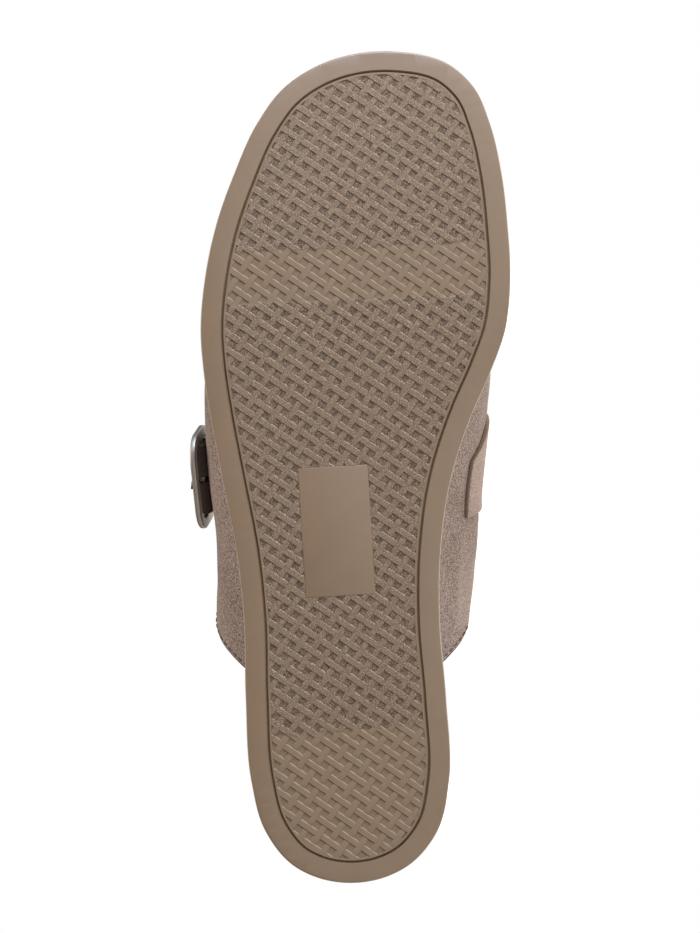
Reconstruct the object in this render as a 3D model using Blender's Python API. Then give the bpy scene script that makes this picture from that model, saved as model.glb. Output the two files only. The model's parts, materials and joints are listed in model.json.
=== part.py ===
"""Clog mule: one right shoe with a closed toe, an open heel and a buckled strap over the instep.

The shoe is drawn in its own frame, in millimetres. Along runs from the back of the heel to the
toe, across runs from the centre line towards the inner (medial) side of the foot, and up is the
height over the tread. The finished shoe is then laid down on its medial side, the way a shoe
lies when it shows its sole.
"""

import math
from collections import namedtuple

import bmesh
import bpy
import numpy as np
from mathutils import Matrix, Vector

MM = 0.001
GAP = 0.3  # between pieces that touch on the real shoe

# Outsole: a moulded unit with a plain rim, a groove inside the rim and the tread inside the groove
OutlineRow = namedtuple("OutlineRow", "along lateral medial")
HEEL_TIP = (0.0, 0.2)
TOE_TIP = (261.4, 14.0)
SOLE_LENGTH = TOE_TIP[0] - HEEL_TIP[0]
SOLE_OUTLINE = (
    OutlineRow(1.7, 10.3, 10.7),
    OutlineRow(5.5, 17.8, 18.3),
    OutlineRow(16.7, 26.7, 27.5),
    OutlineRow(31.6, 30.8, 30.9),
    OutlineRow(57.8, 32.6, 30.0),
    OutlineRow(82.0, 33.2, 28.0),
    OutlineRow(100.9, 35.1, 28.1),
    OutlineRow(125.8, 39.8, 31.4),
    OutlineRow(145.0, 43.5, 37.5),
    OutlineRow(160.0, 45.8, 44.0),
    OutlineRow(172.0, 46.7, 48.3),
    OutlineRow(188.0, 45.5, 50.1),
    OutlineRow(205.0, 42.1, 49.4),
    OutlineRow(222.0, 36.3, 47.6),
    OutlineRow(238.0, 29.2, 44.1),
    OutlineRow(249.5, 20.8, 39.3),
    OutlineRow(257.0, 9.6, 31.6),
)
SOLE_POINTS = 104
ProfileRow = namedtuple("ProfileRow", "along thickness")
SOLE_PROFILE = (
    ProfileRow(0.0, 27.0),
    ProfileRow(40.0, 26.5),
    ProfileRow(90.0, 24.0),
    ProfileRow(140.0, 21.0),
    ProfileRow(190.0, 19.0),
    ProfileRow(260.0, 17.0),
)
TOE_SPRING = 9.0
TOE_SPRING_START = 160.0
SOLE_EDGE_ROUND = 1.2
RIM_WIDTH = 6.2
GROOVE_WIDTH = 1.0
GROOVE_DEPTH = 0.9
FLAT_SLICE = 20.0
SPRUNG_SLICE = 8.0

# Upper: one wall that stands on the sole, closed over the toe and open behind the instep
UPPER_THICKNESS = 2.2
FEATHER_INSET_WAIST = 1.8
FEATHER_INSET_TOE = 3.5
FEATHER_WAIST_END = 110.0
FEATHER_TOE_START = 200.0
UpperRow = namedtuple("UpperRow", "along lateral medial crown ridge")  # lateral, medial: overhang
UPPER_SECTIONS = (
    UpperRow(60.0, 12.2, 11.5, 66.0, 3.0),
    UpperRow(80.0, 12.6, 14.3, 65.0, 4.0),
    UpperRow(95.0, 11.2, 16.3, 64.0, 4.8),
    UpperRow(110.0, 9.4, 16.3, 62.5, 5.6),
    UpperRow(120.0, 8.8, 14.8, 61.0, 6.1),
    UpperRow(130.0, 8.0, 13.5, 59.5, 6.6),
    UpperRow(150.0, 5.7, 9.1, 55.5, 7.8),
    UpperRow(170.0, 3.0, 2.9, 51.5, 8.8),
    UpperRow(190.0, 1.7, 0.8, 48.0, 9.8),
    UpperRow(210.0, 1.5, 0.8, 45.5, 10.8),
    UpperRow(230.0, 1.2, 0.8, 43.5, 12.0),
    UpperRow(260.0, 0.6, 0.4, 42.0, 13.8),
)
TOE_CAP_START = 196.0
BULGE_SHARE = 0.35  # height of the widest line, as a share of the crown's height
BULGE_SWING = 0.3  # share of the section's run that lies under the widest line
FULLNESS = 2.3  # exponent of the arch over the widest line
COLLAR_FOOT_LATERAL = 61.8
COLLAR_FOOT_MEDIAL = 63.5
COLLAR_CROWN = 107.0
COLLAR_CURVE = 1.05
UPPER_STATIONS = 30
UPPER_LANES = 40

# Insole: a footbed inside the upper that runs out to the sole's edge at the open heel
INSOLE_THICKNESS = 5.0
INSOLE_HEEL_INSET = 1.6
INSOLE_OPEN_UNTIL = 44.0
INSOLE_COVERED_FROM = 62.0
INSOLE_POINTS = 72
INSOLE_EDGE_ROUND = 1.5
INSOLE_LANES = (-24.0, -12.0, 0.0, 12.0, 24.0)
HEEL_CUP = 2.5
HEEL_CUP_END = 75.0
HEEL_HALF_WIDTH = 31.0
ARCH_RISE = 3.0
ARCH_ALONG = 105.0
ARCH_SPAN = 38.0

# Strap: sewn down on the medial side, over the instep, round the buckle's bar on the lateral side
STRAP_THICKNESS = 1.4
StrapRow = namedtuple("StrapRow", "swing skew rear front")
# Skew is how much lower the front edge lies than the rear
STRAP_SECTIONS = (
    StrapRow(0.86, 0.0, 113.0, 132.0),
    StrapRow(0.70, 0.0, 116.5, 145.5),
    StrapRow(0.50, 0.02, 119.5, 149.0),
    StrapRow(0.20, 0.0, 124.0, 152.5),
    StrapRow(0.00, 0.0, 125.0, 152.5),
    StrapRow(-0.20, -0.02, 123.6, 150.0),
    StrapRow(-0.36, -0.03, 121.4, 147.0),
)
STRAP_END_WIDTH = 24.0
STRAP_LEAVES_AT = 10.0  # up from the bar, where the strap leaves the upper
STRAP_OVER_BAR = 2.0  # up from the bar's middle, where the strap starts to lie over it
STRAP_END = 4.5  # up from the bar's middle, where its folded end lies under it
STRAP_ROWS = 34
STRAP_LANES = 10
LOOP_ROWS = 7

# Buckle: a flat frame with a centre bar, and a wire prong that hooks on the bar
BUCKLE_ALONG = 126.8
BUCKLE_SWING = -0.63
BUCKLE_LENGTH = 33.0  # beside the strap, fore and aft
BUCKLE_HEIGHT = 26.0  # along the strap
BUCKLE_CORNER = 7.5
BUCKLE_SIDE_RAIL = 3.5
BUCKLE_END_RAIL = 3.2
BUCKLE_BAR = 3.0
BUCKLE_THICKNESS = 1.8
BUCKLE_EDGE_ROUND = 0.3
BUCKLE_LEAN = 18.0  # degrees that the strap leans forward on its way up
BUCKLE_TOE_IN = 2.0  # degrees that the frame's front end turns in towards the foot
BAR_CORNER = 1.0
CORNER_STEPS = 5
STRAP_UNDER_BAR = 1.5
BAR_OFFSET = GAP + STRAP_UNDER_BAR + GAP + BUCKLE_THICKNESS / 2
PRONG_RADIUS = 0.7
PRONG_HOOK_RADIUS = 2.8
PRONG_HOOK_START = -25.0
PRONG_OVERHANG = 0.4
PRONG_SLOT_WIDTH = 2.8
PRONG_SLOT_DEPTH = 5.0

# Density of each piece, which decides how the shoe lies
RUBBER_DENSITY = 1200.0
SUEDE_DENSITY = 900.0
FOOTBED_DENSITY = 300.0
METAL_DENSITY = 8500.0
ROLLS = 12
SMALLEST_FOOTING = 1.0  # square millimetres of a face that can carry the shoe


def smooth_through(knots, values, at):
    """A smooth curve through values at the knots, read at the given places."""
    knots = np.asarray(knots, float)
    values = np.asarray(values, float)
    at = np.asarray(at, float)
    slopes = np.gradient(values, knots, axis=0)
    i = np.clip(np.searchsorted(knots, at) - 1, 0, len(knots) - 2)
    width = knots[i + 1] - knots[i]
    t = np.clip((at - knots[i]) / width, 0.0, 1.0)
    if values.ndim > 1:
        t = t[..., None]
        width = width[..., None]
    return (
        (2 * t**3 - 3 * t**2 + 1) * values[i]
        + (t**3 - 2 * t**2 + t) * width * slopes[i]
        + (3 * t**2 - 2 * t**3) * values[i + 1]
        + (t**3 - t**2) * width * slopes[i + 1]
    )


def column(rows, name, at):
    """One column of a table of sections, read smoothly at the given places along."""
    knots = [row.along for row in rows]
    return smooth_through(knots, [getattr(row, name) for row in rows], at)


def ease(low, high, at):
    """0 before low, 1 after high, and a soft step between them."""
    t = np.clip((np.asarray(at, float) - low) / (high - low), 0.0, 1.0)
    return t * t * (3 - 2 * t)


def closed_curve(points, count):
    """Evenly spaced points on a smooth closed curve through the given ones."""
    points = np.asarray(points, float)
    wrap = 3
    ring = np.vstack([points[-wrap:], points, points[: wrap + 1]])
    steps = np.linalg.norm(np.diff(ring, axis=0), axis=1)
    knots = np.concatenate([[0.0], np.cumsum(steps)])
    fine = np.linspace(knots[wrap], knots[wrap + len(points)], 40 * count + 1)
    curve = smooth_through(knots, ring, fine)
    run = np.concatenate([[0.0], np.cumsum(np.linalg.norm(np.diff(curve, axis=0), axis=1))])
    even = np.linspace(0.0, run[-1], count, endpoint=False)
    return np.column_stack([np.interp(even, run, curve[:, k]) for k in range(2)])


def sole_outline(count):
    """The sole's plan, from the heel up the lateral side, round the toe and back down."""
    lateral = [(row.along, -row.lateral) for row in SOLE_OUTLINE]
    medial = [(row.along, row.medial) for row in reversed(SOLE_OUTLINE)]
    return closed_curve([HEEL_TIP, *lateral, TOE_TIP, *medial], count)


def inset(outline, by):
    """The outline moved inwards, by one distance or by a distance for each point."""
    tangent = np.roll(outline, -1, axis=0) - np.roll(outline, 1, axis=0)
    tangent /= np.linalg.norm(tangent, axis=1)[:, None]
    inward = np.column_stack([-tangent[:, 1], tangent[:, 0]])
    return outline + inward * np.broadcast_to(by, len(outline))[:, None]


def toe_lift(along):
    """How far the tread's plane is bent up towards the toe."""
    share = np.clip((along - TOE_SPRING_START) / (SOLE_LENGTH - TOE_SPRING_START), 0.0, None)
    return TOE_SPRING * share**2


def sole_top(along):
    return column(SOLE_PROFILE, "thickness", along) + toe_lift(along)


def feather_inset(along):
    """How far the upper's foot stands inside the sole's edge."""
    share = ease(FEATHER_WAIST_END, FEATHER_TOE_START, along)
    return FEATHER_INSET_WAIST + (FEATHER_INSET_TOE - FEATHER_INSET_WAIST) * share


FINE_OUTLINE = sole_outline(2000)
FEATHER = inset(FINE_OUTLINE, feather_inset(FINE_OUTLINE[:, 0]))
FEATHER_TOE = FEATHER[:, 0].argmax()
UPPER_TIP = FEATHER[FEATHER_TOE, 0]


def feather_across(along, medial):
    """Where the upper's foot stands, across the shoe, on the medial or the lateral side."""
    half = FEATHER[FEATHER_TOE:][::-1] if medial else FEATHER[: FEATHER_TOE + 1]
    return np.interp(along, half[:, 0], half[:, 1])


def height_share(rise):
    """Height over the sole as a share of the crown's, for rise 0 at the foot and 1 at the crown."""
    low = BULGE_SHARE * np.clip(rise / BULGE_SWING, 0.0, 1.0)
    turn = np.clip((rise - BULGE_SWING) / (1 - BULGE_SWING), 0.0, 1.0) * math.pi / 2
    return low + (1 - BULGE_SHARE) * np.sin(turn) ** (2 / FULLNESS)


def upper_point(along, swing):
    """The upper's outer face. Swing runs from -1 at the lateral foot to 1 at the medial foot."""
    along, swing = np.broadcast_arrays(np.asarray(along, float), np.asarray(swing, float))
    rise = 1 - np.abs(swing)
    medial = swing > 0
    foot = np.where(medial, feather_across(along, True), feather_across(along, False))
    side = np.where(medial, 1.0, -1.0)
    overhang = np.where(
        medial,
        column(UPPER_SECTIONS, "medial", along),
        column(UPPER_SECTIONS, "lateral", along),
    )
    ridge = column(UPPER_SECTIONS, "ridge", along)
    toe_share = np.clip((along - TOE_CAP_START) / (UPPER_TIP - TOE_CAP_START), 0.0, 1.0)
    toe_round = np.sqrt(1 - toe_share**2)
    crown = column(UPPER_SECTIONS, "crown", along) * toe_round
    reach = foot + side * overhang * toe_round
    tuck = np.clip(rise / BULGE_SWING, 0.0, 1.0) * math.pi / 2
    turn = np.clip((rise - BULGE_SWING) / (1 - BULGE_SWING), 0.0, 1.0) * math.pi / 2
    low = foot + (reach - foot) * np.sin(tuck)
    high = ridge + (reach - ridge) * np.cos(turn) ** (2 / FULLNESS)
    across = np.where(rise < BULGE_SWING, low, high)
    up = sole_top(along) + GAP + crown * height_share(rise)
    return np.stack([along, across, up], axis=-1)


def upper_normal(along, swing):
    """The outward direction of the upper's outer face."""
    step_along, step_swing = 0.4, 0.004
    along = np.minimum(along, UPPER_TIP - 2 * step_along)
    swing = np.clip(swing, -1 + step_swing, 1 - step_swing)
    fore = upper_point(along + step_along, swing) - upper_point(along - step_along, swing)
    over = upper_point(along, swing + step_swing) - upper_point(along, swing - step_swing)
    normal = np.cross(fore, over)
    return normal / np.linalg.norm(normal, axis=-1)[..., None]


def on_upper(along, swing, offset):
    """A point that stands off the upper's outer face."""
    return upper_point(along, swing) + upper_normal(along, swing) * np.asarray(offset)[..., None]


def collar_along(swing):
    """Where the upper ends, towards the heel."""
    foot = np.where(np.asarray(swing) > 0, COLLAR_FOOT_MEDIAL, COLLAR_FOOT_LATERAL)
    return foot + (COLLAR_CROWN - foot) * height_share(1 - np.abs(swing)) ** COLLAR_CURVE


def material(name, colour, roughness, metallic=0.0):
    made = bpy.data.materials.new(name)
    made.use_nodes = True
    shader = made.node_tree.nodes["Principled BSDF"]
    shader.inputs["Base Color"].default_value = (*colour, 1.0)
    shader.inputs["Roughness"].default_value = roughness
    shader.inputs["Metallic"].default_value = metallic
    return made


def solid_from(bm, name, finish=None):
    """An object in metres from a closed mesh drawn in millimetres."""
    bmesh.ops.recalc_face_normals(bm, faces=bm.faces)
    bm.transform(Matrix.Scale(MM, 4))
    mesh = bpy.data.meshes.new(name)
    bm.to_mesh(mesh)
    bm.free()
    mesh.shade_smooth()
    mesh.set_sharp_from_angle(angle=math.radians(40))
    if finish:
        mesh.materials.append(finish)
    return bpy.data.objects.new(name, mesh)


def slab(stations, lanes, inner, outer):
    """A closed wall between two faces, each a function of a place from 0 to 1 along and over it."""
    bm = bmesh.new()
    bmesh.ops.create_grid(bm, x_segments=stations, y_segments=lanes, size=1.0)
    near = list(bm.verts)
    grown = bmesh.ops.extrude_face_region(bm, geom=bm.faces[:])["geom"]
    far = [item for item in grown if isinstance(item, bmesh.types.BMVert)]
    for verts, face in ((near, inner), (far, outer)):
        place = np.array([vert.co for vert in verts]) / 2 + 0.5
        for vert, point in zip(verts, face(place[:, 0], place[:, 1])):
            vert.co = point
    bmesh.ops.remove_doubles(bm, verts=bm.verts, dist=0.01)
    return bm


def press(bm, face, steps):
    """Insets a face again and again: each step is a width inwards and a depth out of the face."""
    for width, depth in steps:
        bmesh.ops.inset_region(
            bm, faces=[face], thickness=width, depth=depth, use_even_offset=True
        )


def plate(outline, bottom, top, rounding, stations, lanes=(), bottom_steps=()):
    """A closed plate with this plan, sliced across and lengthwise and bent to two heights."""
    draft = 10.0
    round_edge = [(0.3 * rounding, 0.7 * rounding), (0.7 * rounding, 0.3 * rounding)]
    bm = bmesh.new()
    bmesh.ops.create_circle(bm, cap_ends=True, segments=len(outline), radius=1.0)
    for vert, (along, across) in zip(bm.verts, outline):
        vert.co = (along, across, rounding)
    grown = bmesh.ops.extrude_face_region(bm, geom=bm.faces[:])["geom"]
    for item in grown:
        if isinstance(item, bmesh.types.BMVert):
            item.co.z = draft - rounding
    bmesh.ops.recalc_face_normals(bm, faces=bm.faces)
    caps = sorted(bm.faces, key=lambda face: face.normal.z)
    press(bm, caps[0], round_edge + list(bottom_steps))
    press(bm, caps[-1], round_edge)
    cuts = [((at, 0, 0), (1, 0, 0)) for at in stations]
    cuts += [((0, at, 0), (0, 1, 0)) for at in lanes]
    for place, normal in cuts:
        everything = bm.verts[:] + bm.edges[:] + bm.faces[:]
        bmesh.ops.bisect_plane(
            bm, geom=everything, dist=0.05, plane_co=place, plane_no=normal
        )
    for vert in bm.verts:
        along, across, up = vert.co
        if up < draft / 2:
            vert.co.z = bottom(along, across) + up
        else:
            vert.co.z = top(along, across) - (draft - up)
    return bm


def slices(first, last):
    """Places to slice a sole: wide apart where it is flat, close where it is sprung."""
    flat = np.arange(first, TOE_SPRING_START, FLAT_SLICE)
    sprung = np.arange(TOE_SPRING_START, last, SPRUNG_SLICE)
    return [float(at) for at in (*flat, *sprung)]


def make_outsole(finish):
    bm = plate(
        sole_outline(SOLE_POINTS),
        lambda along, across: float(toe_lift(along)),
        lambda along, across: float(sole_top(along)),
        SOLE_EDGE_ROUND,
        slices(FLAT_SLICE, SOLE_LENGTH - SPRUNG_SLICE),
        bottom_steps=(
            (RIM_WIDTH - SOLE_EDGE_ROUND, 0.0),
            (GROOVE_WIDTH / 2, -GROOVE_DEPTH),
            (GROOVE_WIDTH / 2, GROOVE_DEPTH),
        ),
    )
    return solid_from(bm, "outsole", finish)


def footbed_top(along, across):
    """The insole's upper face: cupped at the heel and raised under the arch."""
    cup = HEEL_CUP * (across / HEEL_HALF_WIDTH) ** 2 * (1 - ease(0.0, HEEL_CUP_END, along))
    hump = math.exp(-(((along - ARCH_ALONG) / ARCH_SPAN) ** 2))
    arch = ARCH_RISE * hump * float(ease(0.0, HEEL_HALF_WIDTH, across))
    return float(sole_top(along)) + GAP + INSOLE_THICKNESS + float(cup) + arch


def make_insole(finish):
    outline = sole_outline(INSOLE_POINTS)
    covered = ease(INSOLE_OPEN_UNTIL, INSOLE_COVERED_FROM, outline[:, 0])
    under_upper = feather_inset(outline[:, 0]) + UPPER_THICKNESS + 2 * GAP
    margin = INSOLE_HEEL_INSET + (under_upper - INSOLE_HEEL_INSET) * covered
    bm = plate(
        inset(outline, margin),
        lambda along, across: float(sole_top(along)) + GAP,
        footbed_top,
        INSOLE_EDGE_ROUND,
        slices(FLAT_SLICE / 2, SOLE_LENGTH - 2 * SPRUNG_SLICE),
        INSOLE_LANES,
    )
    return solid_from(bm, "insole", finish)


def make_upper(finish):
    def face(offset):
        def points(run, over):
            swing = 2 * over - 1
            end = collar_along(swing)
            along = UPPER_TIP - (UPPER_TIP - end) * (1 - np.cos(run * math.pi / 2))
            wall = on_upper(along, swing, np.full(along.shape, offset))
            wall[run < 1e-6] = upper_point(UPPER_TIP, 0.0) + (offset, 0.0, 0.0)
            return wall

        return points

    bm = slab(UPPER_STATIONS, UPPER_LANES, face(-UPPER_THICKNESS), face(0.0))
    return solid_from(bm, "upper", finish)


def buckle_place(unit=MM):
    """The buckle's own frame on the lateral side: X fore, Y up the strap, Z out of the shoe."""
    origin = Vector(on_upper(BUCKLE_ALONG, BUCKLE_SWING, BAR_OFFSET))
    toe_in = Matrix.Rotation(math.radians(BUCKLE_TOE_IN), 3, "Z")
    out = toe_in @ Vector(upper_normal(np.array(BUCKLE_ALONG), np.array(BUCKLE_SWING)))
    lean = math.radians(BUCKLE_LEAN)
    up = Vector((math.sin(lean), 0.0, math.cos(lean)))
    up = (up - out * up.dot(out)).normalized()
    fore = up.cross(out)
    turn = Matrix((fore, up, out)).transposed()
    return Matrix.Translation(origin * unit) @ turn.to_4x4()


def rounded_box(width, height, centre_y, top_corner, bottom_corner):
    """Points round a rectangle with round corners."""
    points = []
    for quarter, (sx, sy) in enumerate(((1, 1), (-1, 1), (-1, -1), (1, -1))):
        corner = top_corner if sy > 0 else bottom_corner
        for step in range(CORNER_STEPS):
            angle = math.pi / 2 * (quarter + step / (CORNER_STEPS - 1))
            x = sx * (width / 2 - corner) + corner * math.cos(angle)
            y = centre_y + sy * (height / 2 - corner) + corner * math.sin(angle)
            points.append((x, y))
    return points


def poly_spline(curve, points, closed):
    spline = curve.splines.new("POLY")
    spline.points.add(len(points) - 1)
    for item, point in zip(spline.points, points):
        item.co = (*(value * MM for value in point), *([0.0] * (3 - len(point))), 1.0)
    spline.use_cyclic_u = closed


def make_buckle_frame(finish):
    curve = bpy.data.curves.new("buckle_frame", "CURVE")
    curve.dimensions = "2D"
    curve.fill_mode = "BOTH"
    curve.extrude = (BUCKLE_THICKNESS / 2 - BUCKLE_EDGE_ROUND) * MM
    curve.bevel_depth = BUCKLE_EDGE_ROUND * MM
    curve.bevel_resolution = 1
    curve.offset = -BUCKLE_EDGE_ROUND * MM
    rim = rounded_box(BUCKLE_LENGTH, BUCKLE_HEIGHT, 0.0, BUCKLE_CORNER, BUCKLE_CORNER)
    poly_spline(curve, rim, True)
    window_length = BUCKLE_LENGTH - 2 * BUCKLE_SIDE_RAIL
    window_height = (BUCKLE_HEIGHT - 2 * BUCKLE_END_RAIL - BUCKLE_BAR) / 2
    rail_corner = BUCKLE_CORNER - BUCKLE_END_RAIL
    for side, top_corner, bottom_corner in (
        (1, rail_corner, BAR_CORNER),
        (-1, BAR_CORNER, rail_corner),
    ):
        centre = side * (BUCKLE_BAR + window_height) / 2
        window = rounded_box(window_length, window_height, centre, top_corner, bottom_corner)
        poly_spline(curve, window, True)
    curve.materials.append(finish)
    frame = bpy.data.objects.new("buckle_frame", curve)
    frame.matrix_basis = buckle_place()
    return frame


def make_buckle_prong(finish):
    """A wire that hooks on the bar from above and rests on the frame's lower rail."""
    rest = BUCKLE_THICKNESS / 2 + GAP + PRONG_RADIUS
    rail = BUCKLE_HEIGHT / 2 - BUCKLE_END_RAIL / 2
    path = []
    for angle in np.linspace(PRONG_HOOK_START, 90.0, 9):
        turn = math.radians(angle)
        hook = PRONG_HOOK_RADIUS
        path.append((0.0, hook * math.cos(turn), hook * math.sin(turn)))
    path.append((0.0, -rail / 2, (PRONG_HOOK_RADIUS + rest) / 2))
    path.append((0.0, -rail, rest))
    path.append((0.0, -rail - PRONG_OVERHANG, rest))
    curve = bpy.data.curves.new("buckle_prong", "CURVE")
    curve.dimensions = "3D"
    curve.bevel_depth = PRONG_RADIUS * MM
    curve.bevel_resolution = 2
    curve.use_fill_caps = True
    poly_spline(curve, path, False)
    curve.materials.append(finish)
    prong = bpy.data.objects.new("buckle_prong", curve)
    prong.matrix_basis = buckle_place()
    return prong


def box_cutter(name, size, centre, place, cutters):
    """A hidden box in the buckle's frame that cuts another piece."""
    bm = bmesh.new()
    bmesh.ops.create_cube(bm, size=1.0)
    bm.transform(Matrix.Translation(centre) @ Matrix.Diagonal((*size, 1.0)))
    cutter = solid_from(bm, name)
    cutter.matrix_basis = place
    cutter.hide_render = True
    cutter.display_type = "WIRE"
    cutters.objects.link(cutter)
    return cutter


def lateral_swing(along, up):
    """The swing at which the upper's lateral side is this high."""
    rise = np.linspace(0.0, 1.0, 401)
    share = (up - sole_top(along) - GAP) / column(UPPER_SECTIONS, "crown", along)
    return np.interp(share, height_share(rise), rise) - 1.0


def at_buckle(place, over, up, out):
    """A row of points over the strap's width, given in the buckle's own frame."""
    row = [place @ Vector((x, up, out)) for x in (over - 0.5) * STRAP_END_WIDTH]
    return np.array(row)


def strap_middle(place):
    """Rows of points down the strap's middle, from its tab to the end folded under the bar."""
    over = np.linspace(0.0, 1.0, STRAP_LANES + 1)
    rows = [
        (row.rear + (row.front - row.rear) * over, row.swing + row.skew * (over - 0.5))
        for row in STRAP_SECTIONS
    ]
    leaving = at_buckle(place, over, STRAP_LEAVES_AT, -BAR_OFFSET)
    rows.append((leaving[:, 0], lateral_swing(leaving[:, 0], leaving[:, 2])))
    rows = np.array(rows)
    knots = -rows[:, 1].mean(axis=1)
    at = np.linspace(knots[0], knots[-1], STRAP_ROWS)
    lying = smooth_through(knots, rows.reshape(len(rows), -1), at).reshape(STRAP_ROWS, 2, -1)
    rest = np.full((STRAP_ROWS, STRAP_LANES + 1), GAP + STRAP_THICKNESS / 2)
    middle = list(on_upper(lying[:, 0], lying[:, 1], rest))
    reach = BUCKLE_THICKNESS / 2 + GAP + STRAP_THICKNESS / 2
    middle.append(at_buckle(place, over, STRAP_OVER_BAR, reach))
    for turn in np.linspace(math.pi / 2, 3 * math.pi / 2, LOOP_ROWS):
        up = reach * math.cos(turn) - BUCKLE_BAR / 2
        middle.append(at_buckle(place, over, up, reach * math.sin(turn)))
    middle.append(at_buckle(place, over, STRAP_END, -reach))
    return np.array(middle)


def make_strap(finish, cutters):
    """A strap of one thickness, folded round the bar, with a slot in the fold for the prong."""
    middle = strap_middle(buckle_place(1.0))
    outward = np.cross(np.gradient(middle, axis=1), np.gradient(middle, axis=0))
    outward /= np.linalg.norm(outward, axis=2)[..., None]

    def face(offset):
        last_row, last_lane = len(middle) - 1, STRAP_LANES

        def points(run, over):
            row = np.rint(run * last_row).astype(int)
            lane = np.rint(over * last_lane).astype(int)
            return middle[row, lane] + outward[row, lane] * offset

        return points

    half = STRAP_THICKNESS / 2
    bm = slab(len(middle) - 1, STRAP_LANES, face(-half), face(half))
    strap = solid_from(bm, "strap", finish)
    slot = (PRONG_SLOT_WIDTH, 2 * PRONG_SLOT_DEPTH, 2 * PRONG_SLOT_DEPTH)
    slot_centre = (0.0, 0.0, PRONG_SLOT_DEPTH - BAR_OFFSET - GAP)
    cut = strap.modifiers.new("prong_slot", "BOOLEAN")
    cut.operation = "DIFFERENCE"
    cut.object = box_cutter("prong_slot", slot, slot_centre, buckle_place(), cutters)
    return strap


def world_triangles(obj, graph):
    evaluated = obj.evaluated_get(graph)
    mesh = evaluated.to_mesh()
    mesh.calc_loop_triangles()
    points = np.array([evaluated.matrix_world @ vert.co for vert in mesh.vertices])
    corners = np.array([item.vertices for item in mesh.loop_triangles])
    evaluated.to_mesh_clear()
    return points[corners]


def balance_point(weighed):
    """Where the shoe's weight acts, from the triangles of each piece and its density."""
    weight, moment = 0.0, np.zeros(3)
    for triangles, density in weighed:
        volumes = np.linalg.det(triangles) / 6 * density
        weight += volumes.sum()
        moment += (triangles.sum(axis=1) / 4 * volumes[:, None]).sum(axis=0)
    return moment / weight


def resting_down(points, balance, down):
    """Rolls the hull of these points from a first guess of down until it lies still on one face."""
    hull = bmesh.new()
    for point in points:
        hull.verts.new(point / MM)
    made = bmesh.ops.convex_hull(hull, input=hull.verts)["geom"]
    faces = [item for item in made if isinstance(item, bmesh.types.BMFace)]
    faces = [face for face in faces if face.calc_area() > SMALLEST_FOOTING]
    normals = np.array([face.normal for face in faces])
    corners = np.array([face.verts[0].co for face in faces])
    depth = np.einsum("ij,ij->i", normals, corners - balance / MM)
    normals *= np.sign(depth)[:, None]
    depth = np.abs(depth)
    hull.free()
    for _ in range(ROLLS):
        facing = normals @ down
        reach = np.where(facing > 0, depth / np.maximum(facing, 1e-9), np.inf)
        down = normals[reach.argmin()]
    return Vector(down)


def lie_down(shoe, pieces):
    """Turns the shoe onto its medial side and sets it on the floor, centred over the origin."""
    bpy.context.view_layer.update()
    graph = bpy.context.evaluated_depsgraph_get()
    weighed = [(world_triangles(piece, graph), density) for piece, density in pieces]
    points = np.concatenate([triangles.reshape(-1, 3) for triangles, _ in weighed])
    points = np.unique(points, axis=0)
    balance = balance_point(weighed)
    up = -resting_down(points, balance, np.array((0.0, 1.0, 0.0)))
    toe = Vector((1.0, 0.0, 0.0))
    toe = (toe - up * toe.dot(up)).normalized()
    turn = Matrix((toe, up.cross(toe), up))
    placed = points @ np.array(turn).T
    low, high = placed.min(axis=0), placed.max(axis=0)
    middle = (low + high) / 2
    shift = Matrix.Translation((-middle[0], -middle[1], -low[2]))
    shoe.matrix_world = shift @ turn.to_4x4()


def main():
    for obj in list(bpy.data.objects):
        bpy.data.objects.remove(obj)
    parts = bpy.data.collections.new("clog_mule")
    cutters = bpy.data.collections.new("cutters")
    for collection in (parts, cutters):
        bpy.context.scene.collection.children.link(collection)
    shoe = bpy.data.objects.new("shoe", None)
    parts.objects.link(shoe)
    rubber = material("taupe_rubber", (0.24, 0.18, 0.12), 0.6)
    suede = material("mushroom_suede", (0.33, 0.26, 0.21), 0.95)
    strap_suede = material("strap_suede", (0.35, 0.28, 0.23), 0.95)
    lining = material("footbed_suede", (0.36, 0.29, 0.23), 0.9)
    pewter = material("frame_pewter", (0.45, 0.43, 0.40), 0.35, 1.0)
    prong_pewter = material("prong_pewter", (0.48, 0.46, 0.43), 0.3, 1.0)
    pieces = (
        (make_outsole(rubber), RUBBER_DENSITY),
        (make_insole(lining), FOOTBED_DENSITY),
        (make_upper(suede), SUEDE_DENSITY),
        (make_strap(strap_suede, cutters), SUEDE_DENSITY),
        (make_buckle_frame(pewter), METAL_DENSITY),
        (make_buckle_prong(prong_pewter), METAL_DENSITY),
    )
    for piece, _ in pieces:
        parts.objects.link(piece)
        piece.parent = shoe
    for cutter in cutters.objects:
        cutter.parent = shoe
    lie_down(shoe, pieces)


main()
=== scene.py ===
"""Looks of the clog mule: its finishes, tread, stitches and folds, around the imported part.

Pieces are shaped in the shoe's own frame, in millimetres: along runs from the heel to the toe,
across towards the inner (medial) side, and up from the tread. Each finished piece is then set
into the row frame, where the shoe lies on its medial side.
"""

import json
import math
from collections import namedtuple
from functools import partial

import bpy
import numpy as np
from mathutils import Matrix, Vector


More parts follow.
